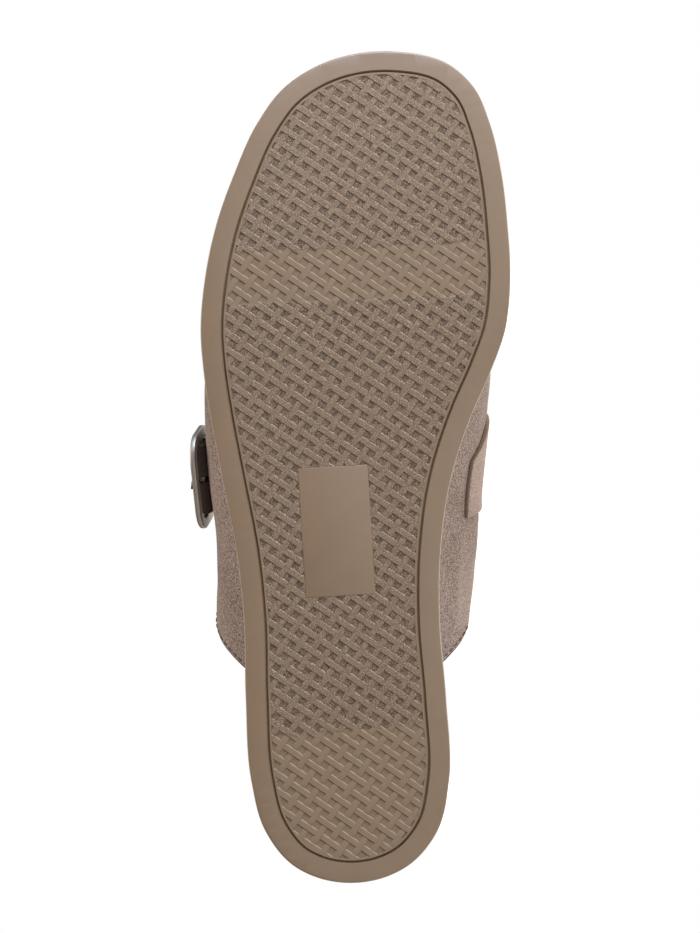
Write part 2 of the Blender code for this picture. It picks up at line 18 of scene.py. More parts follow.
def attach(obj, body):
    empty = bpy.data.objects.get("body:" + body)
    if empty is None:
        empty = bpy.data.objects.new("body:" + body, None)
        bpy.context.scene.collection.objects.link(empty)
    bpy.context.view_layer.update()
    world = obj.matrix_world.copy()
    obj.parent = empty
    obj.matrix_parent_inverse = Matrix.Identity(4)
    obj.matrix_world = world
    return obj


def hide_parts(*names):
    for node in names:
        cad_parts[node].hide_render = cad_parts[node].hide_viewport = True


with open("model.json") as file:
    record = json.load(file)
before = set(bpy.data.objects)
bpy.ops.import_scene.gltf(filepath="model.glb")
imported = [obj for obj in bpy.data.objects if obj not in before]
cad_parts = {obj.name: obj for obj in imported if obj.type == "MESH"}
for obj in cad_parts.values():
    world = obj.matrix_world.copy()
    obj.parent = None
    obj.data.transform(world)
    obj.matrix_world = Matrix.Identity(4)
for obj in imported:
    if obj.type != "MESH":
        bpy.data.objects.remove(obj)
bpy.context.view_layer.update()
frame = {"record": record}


def table(columns, *rows):
    """Rows of values, read by the names of their columns."""
    row_kind = namedtuple("Row", columns)
    return [row_kind(*row) for row in rows]


MM = 0.001
WELD_DISTANCE = 0.004
GAP = 0.3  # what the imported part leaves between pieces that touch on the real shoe
HEEL_MOUNT_ALONG = 40.0

# Photograph: its height in pixels, its scale on the tread, and the place on the tread at its middle
PICTURE_HEIGHT = 933
MM_PER_PIXEL = 0.31175
VIEW_CENTRE = (130.0, -0.05)
CAMERA_DISTANCE = 650.0
CAMERA_CLEARANCE = 2.0  # over the floor
SENSOR_HEIGHT = 36.0

# Outsole: a moulded unit with a plain rim, a groove inside the rim and the tread inside the groove
HEEL_TIP = (0.0, 0.2)
TOE_TIP = (261.4, 14.0)
SOLE_LENGTH = TOE_TIP[0] - HEEL_TIP[0]
SOLE_OUTLINE = table(
    "along lateral medial",
    (1.7, 10.3, 10.7),
    (5.5, 17.8, 18.3),
    (16.7, 26.7, 27.5),
    (31.6, 30.8, 30.9),
    (57.8, 32.6, 30.0),
    (82.0, 33.2, 28.0),
    (100.9, 35.1, 28.1),
    (125.8, 39.8, 31.4),
    (145.0, 43.5, 37.5),
    (160.0, 45.8, 44.0),
    (172.0, 46.7, 48.3),
    (188.0, 45.5, 50.1),
    (205.0, 42.1, 49.4),
    (222.0, 36.3, 47.6),
    (238.0, 29.2, 44.1),
    (249.5, 20.8, 39.3),
    (257.0, 9.6, 31.6),
)
SOLE_POINTS = 420
FINE_POINTS = 2000  # of the outline that other shapes are read from
CURVE_FINENESS = 40  # steps on a curve for each point that is kept
SOLE_PROFILE = table(
    "along thickness",
    (0.0, 27.0),
    (40.0, 26.5),
    (90.0, 24.0),
    (140.0, 21.0),
    (190.0, 19.0),
    (260.0, 17.0),
)
TOE_SPRING = 9.0
TOE_SPRING_START = 160.0
SOLE_EDGE_ROUND = 0.7
EDGE_STEPS = 4
RIM_WIDTH = 6.2
GROOVE_WIDTH = 1.0
GROOVE_DEPTH = 1.0
PANEL_BORDER = 0.5
POCKET_DEPTH = 0.36
POCKET_WALL = 0.1
SOLE_SLICE = 4.0
SOLE_DRAFT = 10.0  # height of the block that is pressed before its profile is bent
RIM_HIGHLIGHT_TURN = (-0.7, -0.1)  # how far down the faces of the round edge look that get the painted highlight

# Tread: a plain weave of flat moulded strands, flush with the rim
WEAVE_PITCH = 4.22
WEAVE_TURN = math.radians(33.9)  # of the strands from straight across
SLANTING_BACK = (-math.sin(WEAVE_TURN), math.cos(WEAVE_TURN))
SLANTING_FORE = (math.cos(WEAVE_TURN), math.sin(WEAVE_TURN))
WEAVE_ANCHOR = (191.8, 7.26)  # a crossing where a slanting-back strand lies on top
BAR_LENGTH = 7.1
BAR_WIDTH = 2.45
BAR_HEIGHT = 1.1
BAR_FLAT = 3.2  # length of a bar's flat middle
BAR_DIP = 0.16
BAR_CHAMFER = 0.42
BAR_SINK = 0.07  # of the strands that slant forward, which lie almost flush
BAND_CENTRE = 190.2  # bare rubber across the ball; the rest of the panel is flocked
BAND_HALF = 8.2
BAND_SLOPE = 0.05
HEEL_BARE_END = 47.9
HEEL_BARE_SLOPE = 0.1
CLIP_LOW = -1.0  # of the blocks that clip the strands
CLIP_HEIGHT = 4.0

# Bare plate in the waist of the tread
PLATE_CENTRE = (109.8, -4.2)
PLATE_LENGTH = 40.4
PLATE_WIDTH = 21.8
PLATE_TURN = math.radians(3.5)
PLATE_EDGE = 0.25

# Upper: one wall that stands on the sole, closed over the toe and open behind the instep
UPPER_THICKNESS = 2.2
FEATHER_INSET_WAIST = 1.8
FEATHER_INSET_TOE = 3.5
FEATHER_WAIST_END = 110.0
FEATHER_TOE_START = 200.0
UPPER_SECTIONS = table(
    "along lateral medial crown ridge",  # lateral, medial: overhang
    (60.0, 12.2, 11.5, 66.0, 3.0),
    (80.0, 12.6, 14.3, 65.0, 4.0),
    (95.0, 11.2, 16.3, 64.0, 4.8),
    (110.0, 9.4, 16.3, 62.5, 5.6),
    (120.0, 8.8, 14.8, 61.0, 6.1),
    (130.0, 8.0, 13.5, 59.5, 6.6),
    (150.0, 5.7, 9.1, 55.5, 7.8),
    (170.0, 3.0, 2.9, 51.5, 8.8),
    (190.0, 1.7, 0.8, 48.0, 9.8),
    (210.0, 1.5, 0.8, 45.5, 10.8),
    (230.0, 1.2, 0.8, 43.5, 12.0),
    (260.0, 0.6, 0.4, 42.0, 13.8),
)
TOE_CAP_START = 196.0
BULGE_SHARE = 0.35
BULGE_SWING = 0.3
FULLNESS = 2.3
COLLAR_FOOT_LATERAL = 61.8
COLLAR_FOOT_MEDIAL = 63.5
COLLAR_CROWN = 107.0
COLLAR_CURVE = 1.05
UPPER_STATIONS = 150
UPPER_LANES = 170
TIP_START = 0.03  # of the run from the toe, left open and then closed by one flat face
COLLAR_ROUND = 0.9
SWING_SPAN = 95.0  # millimetres over the upper for one unit of swing
SWING_SAMPLES = 401
FOOT_SHARE = 0.08  # of the rise, where the wall is drawn down onto the sole

# Soft folds in the suede: a positive rise is a ridge, a negative one a trough
FOLDS = table(
    "from_along from_swing to_along to_swing width rise",
    (108.0, 0.885, 80.0, 0.875, 2.2, 0.75),
    (104.0, 0.840, 78.0, 0.815, 3.5, -0.25),
    (96.0, 0.74, 84.0, 0.80, 4.0, -0.30),
    (176.0, 0.52, 181.0, 0.18, 4.0, -0.45),
    (181.0, 0.18, 178.0, -0.22, 4.0, -0.45),
    (186.0, 0.40, 189.0, -0.05, 4.5, 0.30),
    (169.0, -0.60, 175.0, -0.28, 4.0, -0.40),
    (160.0, -0.55, 165.0, -0.30, 4.0, 0.25),
    (112.0, -0.62, 92.0, -0.70, 4.0, -0.30),
)

# Collar stitching
STITCH_INSET = 1.7
STITCH_LENGTH = 2.5
STITCH_GAP = 0.7
STITCH_WIDTH = 0.65
STITCH_HEIGHT = 0.6
STITCH_LIFT = 0.05
STITCH_ROW_END = 0.975  # in swing
STITCH_ROW_POINTS = 900

# Footbed: a covered insole inside the upper, out to the sole's edge at the open heel
FOOTBED_THICKNESS = 5.0
FOOTBED_HEEL_INSET = 1.6
FOOTBED_OPEN_UNTIL = 44.0
FOOTBED_COVERED_FROM = 62.0
FOOTBED_EDGE_ROUND = 1.5
FOOTBED_STATIONS = 120
FOOTBED_LANES = 40
HEEL_CUP = 2.5
HEEL_CUP_END = 75.0
HEEL_HALF_WIDTH = 31.0
ARCH_RISE = 3.0
ARCH_ALONG = 105.0
ARCH_SPAN = 38.0

# Strap: sewn down on the medial side, over the instep, round the buckle's bar on the lateral side
STRAP_THICKNESS = 1.4
STRAP_REST = 0.75  # of the strap's middle over the suede it lies on
STRAP_SECTIONS = table(
    "swing skew rear front",  # skew: how much lower the front edge lies than the rear
    (0.86, 0.0, 113.0, 132.0),
    (0.70, 0.0, 116.5, 145.5),
    (0.50, 0.02, 119.5, 149.0),
    (0.20, 0.0, 124.0, 152.5),
    (0.00, 0.0, 125.0, 152.5),
    (-0.20, -0.02, 123.6, 150.0),
    (-0.36, -0.03, 121.4, 147.0),
)
STRAP_END_WIDTH = 24.0
STRAP_LEAVES_AT = 10.0  # up from the bar, where the strap leaves the upper
STRAP_OVER_BAR = 2.0  # up from the bar's middle, where the strap starts to lie over it
STRAP_END = 4.5  # up from the bar's middle, where its folded end lies under it
STRAP_ROWS = 120
SPAN_ROWS = 8  # between the upper and the bar
LOOP_ROWS = 22
END_ROWS = 4
STRAP_LANES = 48
STRAP_EDGE_ROUND = 0.25
SLOT_LANES = 4  # left out of the loop for the prong
SQUEEZE = 0.25  # how far the strap presses the suede in, and lifts it beside its edge
SQUEEZE_EDGE = (-0.6, 1.2)
SWELL_AWAY = 3.0
SWELL_WIDTH = 2.2
SQUEEZE_SWING = (-0.50, -0.36)  # where the strap comes to lie on the upper

# Buckle: a flat frame with a centre bar, and a wire prong that hooks on the bar
BUCKLE_ALONG = 126.8
BUCKLE_SWING = -0.63
BUCKLE_LENGTH = 33.0
BUCKLE_HEIGHT = 26.0
BUCKLE_CORNER = 9.0
BUCKLE_SIDE_RAIL = 3.5
BUCKLE_END_RAIL = 3.2
BUCKLE_BAR = 3.0
BUCKLE_THICKNESS = 1.8
BUCKLE_EDGE_ROUND = 0.45
BUCKLE_LEAN = math.radians(18.0)
BUCKLE_TOE_IN = math.radians(2.0)
BAR_CORNER = 1.0
CORNER_STEPS = 14
STRAP_UNDER_BAR = 1.5
BAR_OFFSET = GAP + STRAP_UNDER_BAR + GAP + BUCKLE_THICKNESS / 2
PRONG_RADIUS = 0.7
PRONG_HOOK_RADIUS = 2.8
PRONG_HOOK_START = -25.0
PRONG_HOOK_STEPS = 24
PRONG_EDGE_ROUND = 0.2
PRONG_OVERHANG = 0.4
PRONG_REST = 0.05  # between the prong and the rail it lies on
PRONG_TIP = 0.6  # thickness of the hammered tip, as a share of the wire's

# Finishes: dark and light colours
RUBBER = ("#665440", "#6e5b47")
RIM_HIGHLIGHT = ("#988877", "#a29281")  # painted highlight on the rim's round outer edge, where it catches the light
FLOCK = ("#504236", "#958371")
PIT_FLOCK_AND_SHADE = ("#372b20", "#786757")  # in the pits between the strands: fibres gathered there, darkened with painted shade
UPPER_SUEDE = ("#67584d", "#b0a098")
STRAP_SUEDE = ("#83736a", "#b9a99f")
FOOTBED_SUEDE = ("#8a7868", "#b3a08f")
COLLAR_EDGE = ("#231c18", "#3a302a")
STRAP_EDGE = ("#7d6858", "#a08b7a")
# a lining, coloured dark as painted shade under the strap and round the buckle's bar
STRAP_LINING_SHADE = ("#2b221d", "#3a2f28")
LINING = ("#8d7d6f", "#a89888")
PEWTER = ("#9c968d", "#b8b1a8")
# the prong's pewter, darkened as painted shade in the buckle's window
SHADED_PEWTER = ("#332e2b", "#423c38")
THREAD = ("#453a32", "#64564b")
PAPER = ("#f4f3f1", "#f8f7f6")
NAP_GAP_SHADE = "#4f332b"  # painted shade between the fibres, low on the upper and stronger on the lateral side
# painted highlight on the strands' edges that face the toe
STRAND_HIGHLIGHT = "#b39c84"
# painted shade in the pits and on the strands' edges towards the heel
STRAND_SHADE = "#473828"

# Finishes: sizes of their patterns; fibres are drawn coarser than they are, so that they show
RUBBER_CLOUD = 9.0
RUBBER_PITS = 0.5
RAGGED_SIZE = 2.5  # of the flock's border
RAGGED_REACH = 2.0
BORDER_BLUR = 0.3
FIBRE_SIZE = 0.42
CLOT_SIZE = 1.15  # of the fibres that cling together
NAP_SIZE = 0.45
NAP_GAP_SIZE = 0.6
BRUSHED_SIZE = 16.0
LAYER_SIZE = 0.6
LINING_THREAD = 1.6
BRUSH_MARK = (8.0, 0.4, 0.4)
TWIST_SIZE = 0.4
PAPER_CLOUD = 60.0

# Finishes: how much of each shows
RUBBER_ROUGHNESS = 0.48
NAP_ROUGHNESS = 0.95
FLOCK_ON_TOP = 0.6  # how much of the flock is left on the strands
EDGE_FROM = 0.35  # how far a strand's edge looks ahead or back where its painted highlight or painted shade starts
EDGE_FULL = 0.65
HIGHLIGHT_BARE = 0.16  # how strong the painted highlight is on the bare strands' edges towards the toe
GLINTS_FLOCKED = 0.5  # painted glints on the flocked strands' edges towards the toe, on the fibres that catch the light
SHADE_BARE = 0.5  # painted shade on the strands' edges towards the heel
SHADE_FLOCKED = 0.2
# painted shade in the pits of the bare rubber
SHADE_IN_BARE_PITS = 0.15
GAPS_LATERAL = 0.95
GAPS_MEDIAL = 0.5
GAPS_ACROSS = 20.0
GAPS_UNTIL = 24.0  # up from the tread
GAPS_END = 48.0

# Stage, in metres
FLOOR_SIZE = 3.0
AMBIENT = 0.12
FLOOR_GLOW = 1.0  # the paper is lit from behind, so that it stays white under the shoe
LIGHTS = table(
    "name place aim size power colour",
    ("toe_key", (1.05, -0.44, 0.06), (0.0, -0.04, 0.05), 0.28, 30.5, "#dfeaff"),
    ("top_fill", (0.0, -0.3, 1.4), (0.0, 0.0, 0.05), 1.0, 17.0, "#fff2e6"),
)


def smooth_through(knots, values, at):
    """A smooth curve through values at the knots, read at the given places."""
    knots = np.asarray(knots, float)
    values = np.asarray(values, float)
    at = np.asarray(at, float)
    slopes = np.gradient(values, knots, axis=0)
    i = np.clip(np.searchsorted(knots, at) - 1, 0, len(knots) - 2)
    width = knots[i + 1] - knots[i]
    t = np.clip((at - knots[i]) / width, 0.0, 1.0)
    if values.ndim > 1:
        t = t[..., None]
        width = width[..., None]
    return (
        (2 * t**3 - 3 * t**2 + 1) * values[i]
        + (t**3 - 2 * t**2 + t) * width * slopes[i]
        + (3 * t**2 - 2 * t**3) * values[i + 1]
        + (t**3 - t**2) * width * slopes[i + 1]
    )


def column(rows, name, at, key="along"):
    """One column of a table of sections, read smoothly at the given places."""
    knots = [getattr(row, key) for row in rows]
    return smooth_through(knots, [getattr(row, name) for row in rows], at)


def ease(low, high, at):
    """0 before low, 1 after high, and a soft step between them."""
    t = np.clip((np.asarray(at, float) - low) / (high - low), 0.0, 1.0)
    return t * t * (3 - 2 * t)


def closed_curve(points, count):
    """Evenly spaced points on a smooth closed curve through the given ones."""
    points = np.asarray(points, float)
    wrap = 3
    ring = np.vstack([points[-wrap:], points, points[: wrap + 1]])
    steps = np.linalg.norm(np.diff(ring, axis=0), axis=1)
    knots = np.concatenate([[0.0], np.cumsum(steps)])
    fine = np.linspace(knots[wrap], knots[wrap + len(points)], CURVE_FINENESS * count + 1)
    curve = smooth_through(knots, ring, fine)
    run = np.concatenate([[0.0], np.cumsum(np.linalg.norm(np.diff(curve, axis=0), axis=1))])
    even = np.linspace(0.0, run[-1], count, endpoint=False)
    return np.column_stack([np.interp(even, run, curve[:, k]) for k in range(2)])


def sole_outline(count):
    """The sole's plan, from the heel up the lateral side, round the toe and back down."""
    lateral = [(row.along, -row.lateral) for row in SOLE_OUTLINE]
    medial = [(row.along, row.medial) for row in reversed(SOLE_OUTLINE)]
    return closed_curve([HEEL_TIP, *lateral, TOE_TIP, *medial], count)


def inset_outline(outline, by):
    """The outline moved inwards, by one distance or by a distance for each point."""
    tangent = np.roll(outline, -1, axis=0) - np.roll(outline, 1, axis=0)
    tangent /= np.linalg.norm(tangent, axis=1)[:, None]
    inward = np.column_stack([-tangent[:, 1], tangent[:, 0]])
    return outline + inward * np.broadcast_to(by, len(outline))[:, None]


def toe_lift(along):
    """How far the tread's plane is bent up towards the toe."""
    share = np.clip((along - TOE_SPRING_START) / (SOLE_LENGTH - TOE_SPRING_START), 0.0, None)
    return TOE_SPRING * share**2


def sole_top(along):
    return column(SOLE_PROFILE, "thickness", along) + toe_lift(along)


def feather_inset(along):
    """How far the upper's foot stands inside the sole's edge."""
    share = ease(FEATHER_WAIST_END, FEATHER_TOE_START, along)
    return FEATHER_INSET_WAIST + (FEATHER_INSET_TOE - FEATHER_INSET_WAIST) * share


FINE_OUTLINE = sole_outline(FINE_POINTS)
FEATHER = inset_outline(FINE_OUTLINE, feather_inset(FINE_OUTLINE[:, 0]))
UPPER_TIP = FEATHER[:, 0].max()


def edge_across(outline, along, medial):
    """Where a plan outline lies across the shoe, on its medial or its lateral side."""
    toe = outline[:, 0].argmax()
    half = outline[toe:][::-1] if medial else outline[: toe + 1]
    return np.interp(along, half[:, 0], half[:, 1])


def height_share(rise):
    """Height over the sole as a share of the crown's, for rise 0 at the foot and 1 at the crown."""
    low = BULGE_SHARE * np.clip(rise / BULGE_SWING, 0.0, 1.0)
    turn = np.clip((rise - BULGE_SWING) / (1 - BULGE_SWING), 0.0, 1.0) * math.pi / 2
    return low + (1 - BULGE_SHARE) * np.sin(turn) ** (2 / FULLNESS)


def upper_point(along, swing):
    """The upper's outer face. Swing runs from -1 at the lateral foot to 1 at the medial foot."""
    along, swing = np.broadcast_arrays(np.asarray(along, float), np.asarray(swing, float))
    rise = 1 - np.abs(swing)
    medial = swing > 0
    side = np.where(medial, 1.0, -1.0)
    foot = np.where(
        medial, edge_across(FEATHER, along, True), edge_across(FEATHER, along, False)
    )
    overhang = np.where(
        medial,
        column(UPPER_SECTIONS, "medial", along),
        column(UPPER_SECTIONS, "lateral", along),
    )
    ridge = column(UPPER_SECTIONS, "ridge", along)
    toe_share = np.clip((along - TOE_CAP_START) / (UPPER_TIP - TOE_CAP_START), 0.0, 1.0)
    toe_round = np.sqrt(1 - toe_share**2)
    crown = column(UPPER_SECTIONS, "crown", along) * toe_round
    reach = foot + side * overhang * toe_round
    tuck = np.clip(rise / BULGE_SWING, 0.0, 1.0) * math.pi / 2
    turn = np.clip((rise - BULGE_SWING) / (1 - BULGE_SWING), 0.0, 1.0) * math.pi / 2
    low = foot + (reach - foot) * np.sin(tuck)
    high = ridge + (reach - ridge) * np.cos(turn) ** (2 / FULLNESS)
    across = np.where(rise < BULGE_SWING, low, high)
    up = sole_top(along) + GAP + crown * height_share(rise)
    return np.stack([along, across, up], axis=-1)


def upper_normal(along, swing):
    """The outward direction of the upper's outer face."""
    step_along, step_swing = 0.4, 0.004
    along = np.minimum(along, UPPER_TIP - 2 * step_along)
    swing = np.clip(swing, -1 + step_swing, 1 - step_swing)
    fore = upper_point(along + step_along, swing) - upper_point(along - step_along, swing)
    over = upper_point(along, swing + step_swing) - upper_point(along, swing - step_swing)
    normal = np.cross(fore, over)
    return normal / np.linalg.norm(normal, axis=-1)[..., None]


def on_upper(along, swing, offset):
    """A point that stands off the upper's outer face."""
    return upper_point(along, swing) + upper_normal(along, swing) * np.asarray(offset)[..., None]


def collar_along(swing):
    """Where the upper ends, towards the heel."""
    foot = np.where(np.asarray(swing) > 0, COLLAR_FOOT_MEDIAL, COLLAR_FOOT_LATERAL)
    return foot + (COLLAR_CROWN - foot) * height_share(1 - np.abs(swing)) ** COLLAR_CURVE


def shoe_frame(record):
    """The shoe's own frame, in millimetres, set into the row frame by the two tread mounts."""
    mounts = {mount["name"]: mount for mount in record["mounts"]}
    heel = Vector(mounts["heel_tread"]["pos_m"])
    along = (Vector(mounts["forefoot_tread"]["pos_m"]) - heel).normalized()
    up = -Vector(mounts["heel_tread"]["axis"])
    up = (up - along * up.dot(along)).normalized()
    turn = Matrix((along, up.cross(along), up)).transposed().to_4x4()
    origin = heel - along * HEEL_MOUNT_ALONG * MM
    return Matrix.Translation(origin) @ turn @ Matrix.Scale(MM, 4)


SHOE = shoe_frame(frame["record"])


# Modelling steps that several pieces share


def read_points(piece):
    points = np.empty(3 * len(piece.data.vertices))
    piece.data.vertices.foreach_get("co", points)
    return points.reshape(-1, 3)


def write_points(piece, points):
    piece.data.vertices.foreach_set("co", np.asarray(points, float).ravel())
    piece.data.update()


def start(name):
    """Names the primitive that was just added, and hands it back."""
    made = bpy.context.object
    made.name = name
    made.data.name = name
    return made


def pick(piece):
    """Selects this piece alone and makes it the active one."""
    bpy.ops.object.select_all(action="DESELECT")
    piece.select_set(True)
    bpy.context.view_layer.objects.active = piece


def edit(piece, mode="EDIT"):
    """Goes into or out of edit mode with this piece alone."""
    if mode == "EDIT":
        pick(piece)
    bpy.ops.object.mode_set(mode=mode)


def select_faces(piece, chosen):
    """Selects these faces alone, in object mode, and goes into edit mode with them."""
    edit(piece)
    bpy.ops.mesh.select_mode(type="FACE")
    bpy.ops.mesh.select_all(action="DESELECT")
    bpy.ops.object.mode_set(mode="OBJECT")
    for face in piece.data.polygons:
        face.select = chosen(face)
    bpy.ops.object.mode_set(mode="EDIT")


def modify(piece, kind, **settings):
    """Adds a modifier and applies it."""
    pick(piece)
    modifier = piece.modifiers.new(kind.lower(), kind)
    for name, value in settings.items():
        setattr(modifier, name, value)
    bpy.ops.object.modifier_apply(modifier=modifier.name)


def give_wall(piece, thickness, offset, rim):
    """Gives a sheet its thickness, with the next finish inside and another on its rim."""
    finishes = {"material_offset": 1, "material_offset_rim": rim}
    modify(piece, "SOLIDIFY", thickness=thickness, offset=offset, **finishes)


def soften(piece, width, segments, degrees):
    """Rounds the edges where faces turn by more than this angle."""
    sharp = {"limit_method": "ANGLE", "angle_limit": math.radians(degrees)}
    modify(piece, "BEVEL", width=width, segments=segments, **sharp)


def weld(piece, outward):
    """Merges corners that fall together and, for a closed shape, turns its faces outwards."""
    edit(piece)
    bpy.ops.mesh.select_all(action="SELECT")
    bpy.ops.mesh.remove_doubles(threshold=WELD_DISTANCE)
    if outward:
        bpy.ops.mesh.normals_make_consistent(inside=False)
    edit(piece, "OBJECT")


def shade(piece, degrees):
    pick(piece)
    bpy.ops.object.shade_smooth_by_angle(angle=math.radians(degrees))


def grid_sheet(name, stations, lanes, place, left_out=None, finish_at=None):
    """A grid whose corners lie where place says, for a run along it and over it from 0 to 1."""
    bpy.ops.mesh.primitive_grid_add(x_subdivisions=stations, y_subdivisions=lanes, size=2.0)
    sheet = start(name)
    if left_out:
        select_faces(
            sheet, lambda face: left_out(face.center.x / 2 + 0.5, face.center.y / 2 + 0.5)
        )
        bpy.ops.mesh.delete(type="FACE")
        edit(sheet, "OBJECT")
    if finish_at:
        for face in sheet.data.polygons:
            face.material_index = finish_at(face.center.x / 2 + 0.5, face.center.y / 2 + 0.5)
    share = read_points(sheet) / 2 + 0.5
    write_points(sheet, place(share[:, 0], share[:, 1]))
    return sheet


def disc(name, outline, up):
    """A flat face with this plan."""
    bpy.ops.mesh.primitive_circle_add(vertices=len(outline), radius=1.0, fill_type="NGON")
    made = start(name)
    write_points(made, np.column_stack([outline, np.full(len(outline), up)]))
    return made


def thicken(piece, depth):
    """Draws a flat face out into a block and turns its faces outwards."""
    edit(piece)
    bpy.ops.mesh.select_all(action="SELECT")
    bpy.ops.mesh.extrude_region_move(TRANSFORM_OT_translate={"value": (0.0, 0.0, depth)})
    bpy.ops.mesh.select_all(action="SELECT")
    bpy.ops.mesh.normals_make_consistent(inside=False)
    edit(piece, "OBJECT")


def block(name, size, centre, turn):
    """A box in the plan of the tread, turned about its middle."""
    bpy.ops.mesh.primitive_cube_add(size=1.0)
    made = start(name)
    place = Matrix.Translation(centre) @ Matrix.Rotation(turn, 4, "Z")
    made.data.transform(place @ Matrix.Diagonal((*size, 1.0)))
    return made


def press(steps):
    """Insets the selected face again and again: a width inwards and a depth out of the face."""
    for width, depth in steps:
        bpy.ops.mesh.inset(thickness=width, depth=depth, use_even_offset=True)


def quarter_round(radius):
    """The steps that round off an edge."""
    angles = np.linspace(0.0, math.pi / 2, EDGE_STEPS + 1)
    widths = radius * -np.diff(np.cos(angles))
    depths = radius * np.diff(np.sin(angles))
    return [(float(width), float(depth)) for width, depth in zip(widths, depths)]


def join(pieces, name):
    """Joins meshes into one piece whose place is in its mesh."""
    pick(pieces[0])
    for piece in pieces:
        piece.select_set(True)
    bpy.ops.object.join()
    bpy.ops.object.transform_apply(location=True, rotation=True, scale=True)
    return start(name)


def remove(*pieces):
    for piece in pieces:
        bpy.data.objects.remove(piece)


def hand_over(piece, replaced=()):
    """Sets a finished piece into the row frame, under the root body, and hides the imported parts
    that it stands for.
    """
    piece.data.transform(SHOE)
    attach(piece, "root")
    for node in replaced:
        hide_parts(node)


# Finishes


def linear(hex_colour):
    """A hex sRGB colour as the linear colour that shaders take."""
    values = [int(hex_colour[i : i + 2], 16) / 255 for i in (1, 3, 5)]
    return (
        *(v / 12.92 if v <= 0.04045 else ((v + 0.055) / 1.055) ** 2.4 for v in values),
        1.0,
    )


def set_inputs(tree, node, values):
    """Links or sets a node's inputs. A name has _ for each space, and a text is a hex colour."""
    sockets = {socket.identifier.replace(" ", "_"): socket for socket in node.inputs}
    for name, value in values.items():
        if isinstance(value, bpy.types.NodeSocket):
            tree.links.new(value, sockets[name])
        else:
            sockets[name].default_value = linear(value) if isinstance(value, str) else value


def add_node(tree, kind, out=None, **values):
    """Adds a node and hands back one output. Its settings are in small letters, its inputs not."""
    made = tree.nodes.new("ShaderNode" + kind)
    for name in [name for name in values if name.islower()]:
        setattr(made, name, values.pop(name))
    set_inputs(tree, made, values)
    return next(s for s in made.outputs if s.enabled and out in (None, s.name))


def new_material(name):
    """A material, what adds its nodes, and the shoe's own coordinates in millimetres."""
    made = bpy.data.materials.new(name)
    made.use_nodes = True
    add = partial(add_node, made.node_tree)
    back = SHOE.inverted()
    at = add(
        "Mapping",
        Vector=add("TexCoord", out="Object"),
        Location=back.to_translation(),
        Rotation=back.to_euler(),
        Scale=back.to_scale(),
    )
    return made, add, at


def finish_shader(made, **values):
    """Links what varies over the surface to the shader and sets the rest on its sockets."""
    set_inputs(made.node_tree, made.node_tree.nodes["Principled BSDF"], values)
    return made


def moulded_rubber(name, colours):
    """Thermoplastic rubber from a polished mould: satin, evenly coloured, faintly clouded."""
    made, add, at = new_material(name)
    dark, light = colours
    cloud = add("TexNoise", Vector=at, Scale=1 / RUBBER_CLOUD, Detail=3.0)
    tone = add("Mix", data_type="RGBA", Factor_Float=cloud, A_Color=dark, B_Color=light)
    pits = add("TexNoise", Vector=at, Scale=1 / RUBBER_PITS, Detail=2.0)
    bump = add("Bump", Height=pits, Strength=0.12, Distance=0.05 * MM)
    return finish_shader(made, Base_Color=tone, Normal=bump, Roughness=RUBBER_ROUGHNESS)


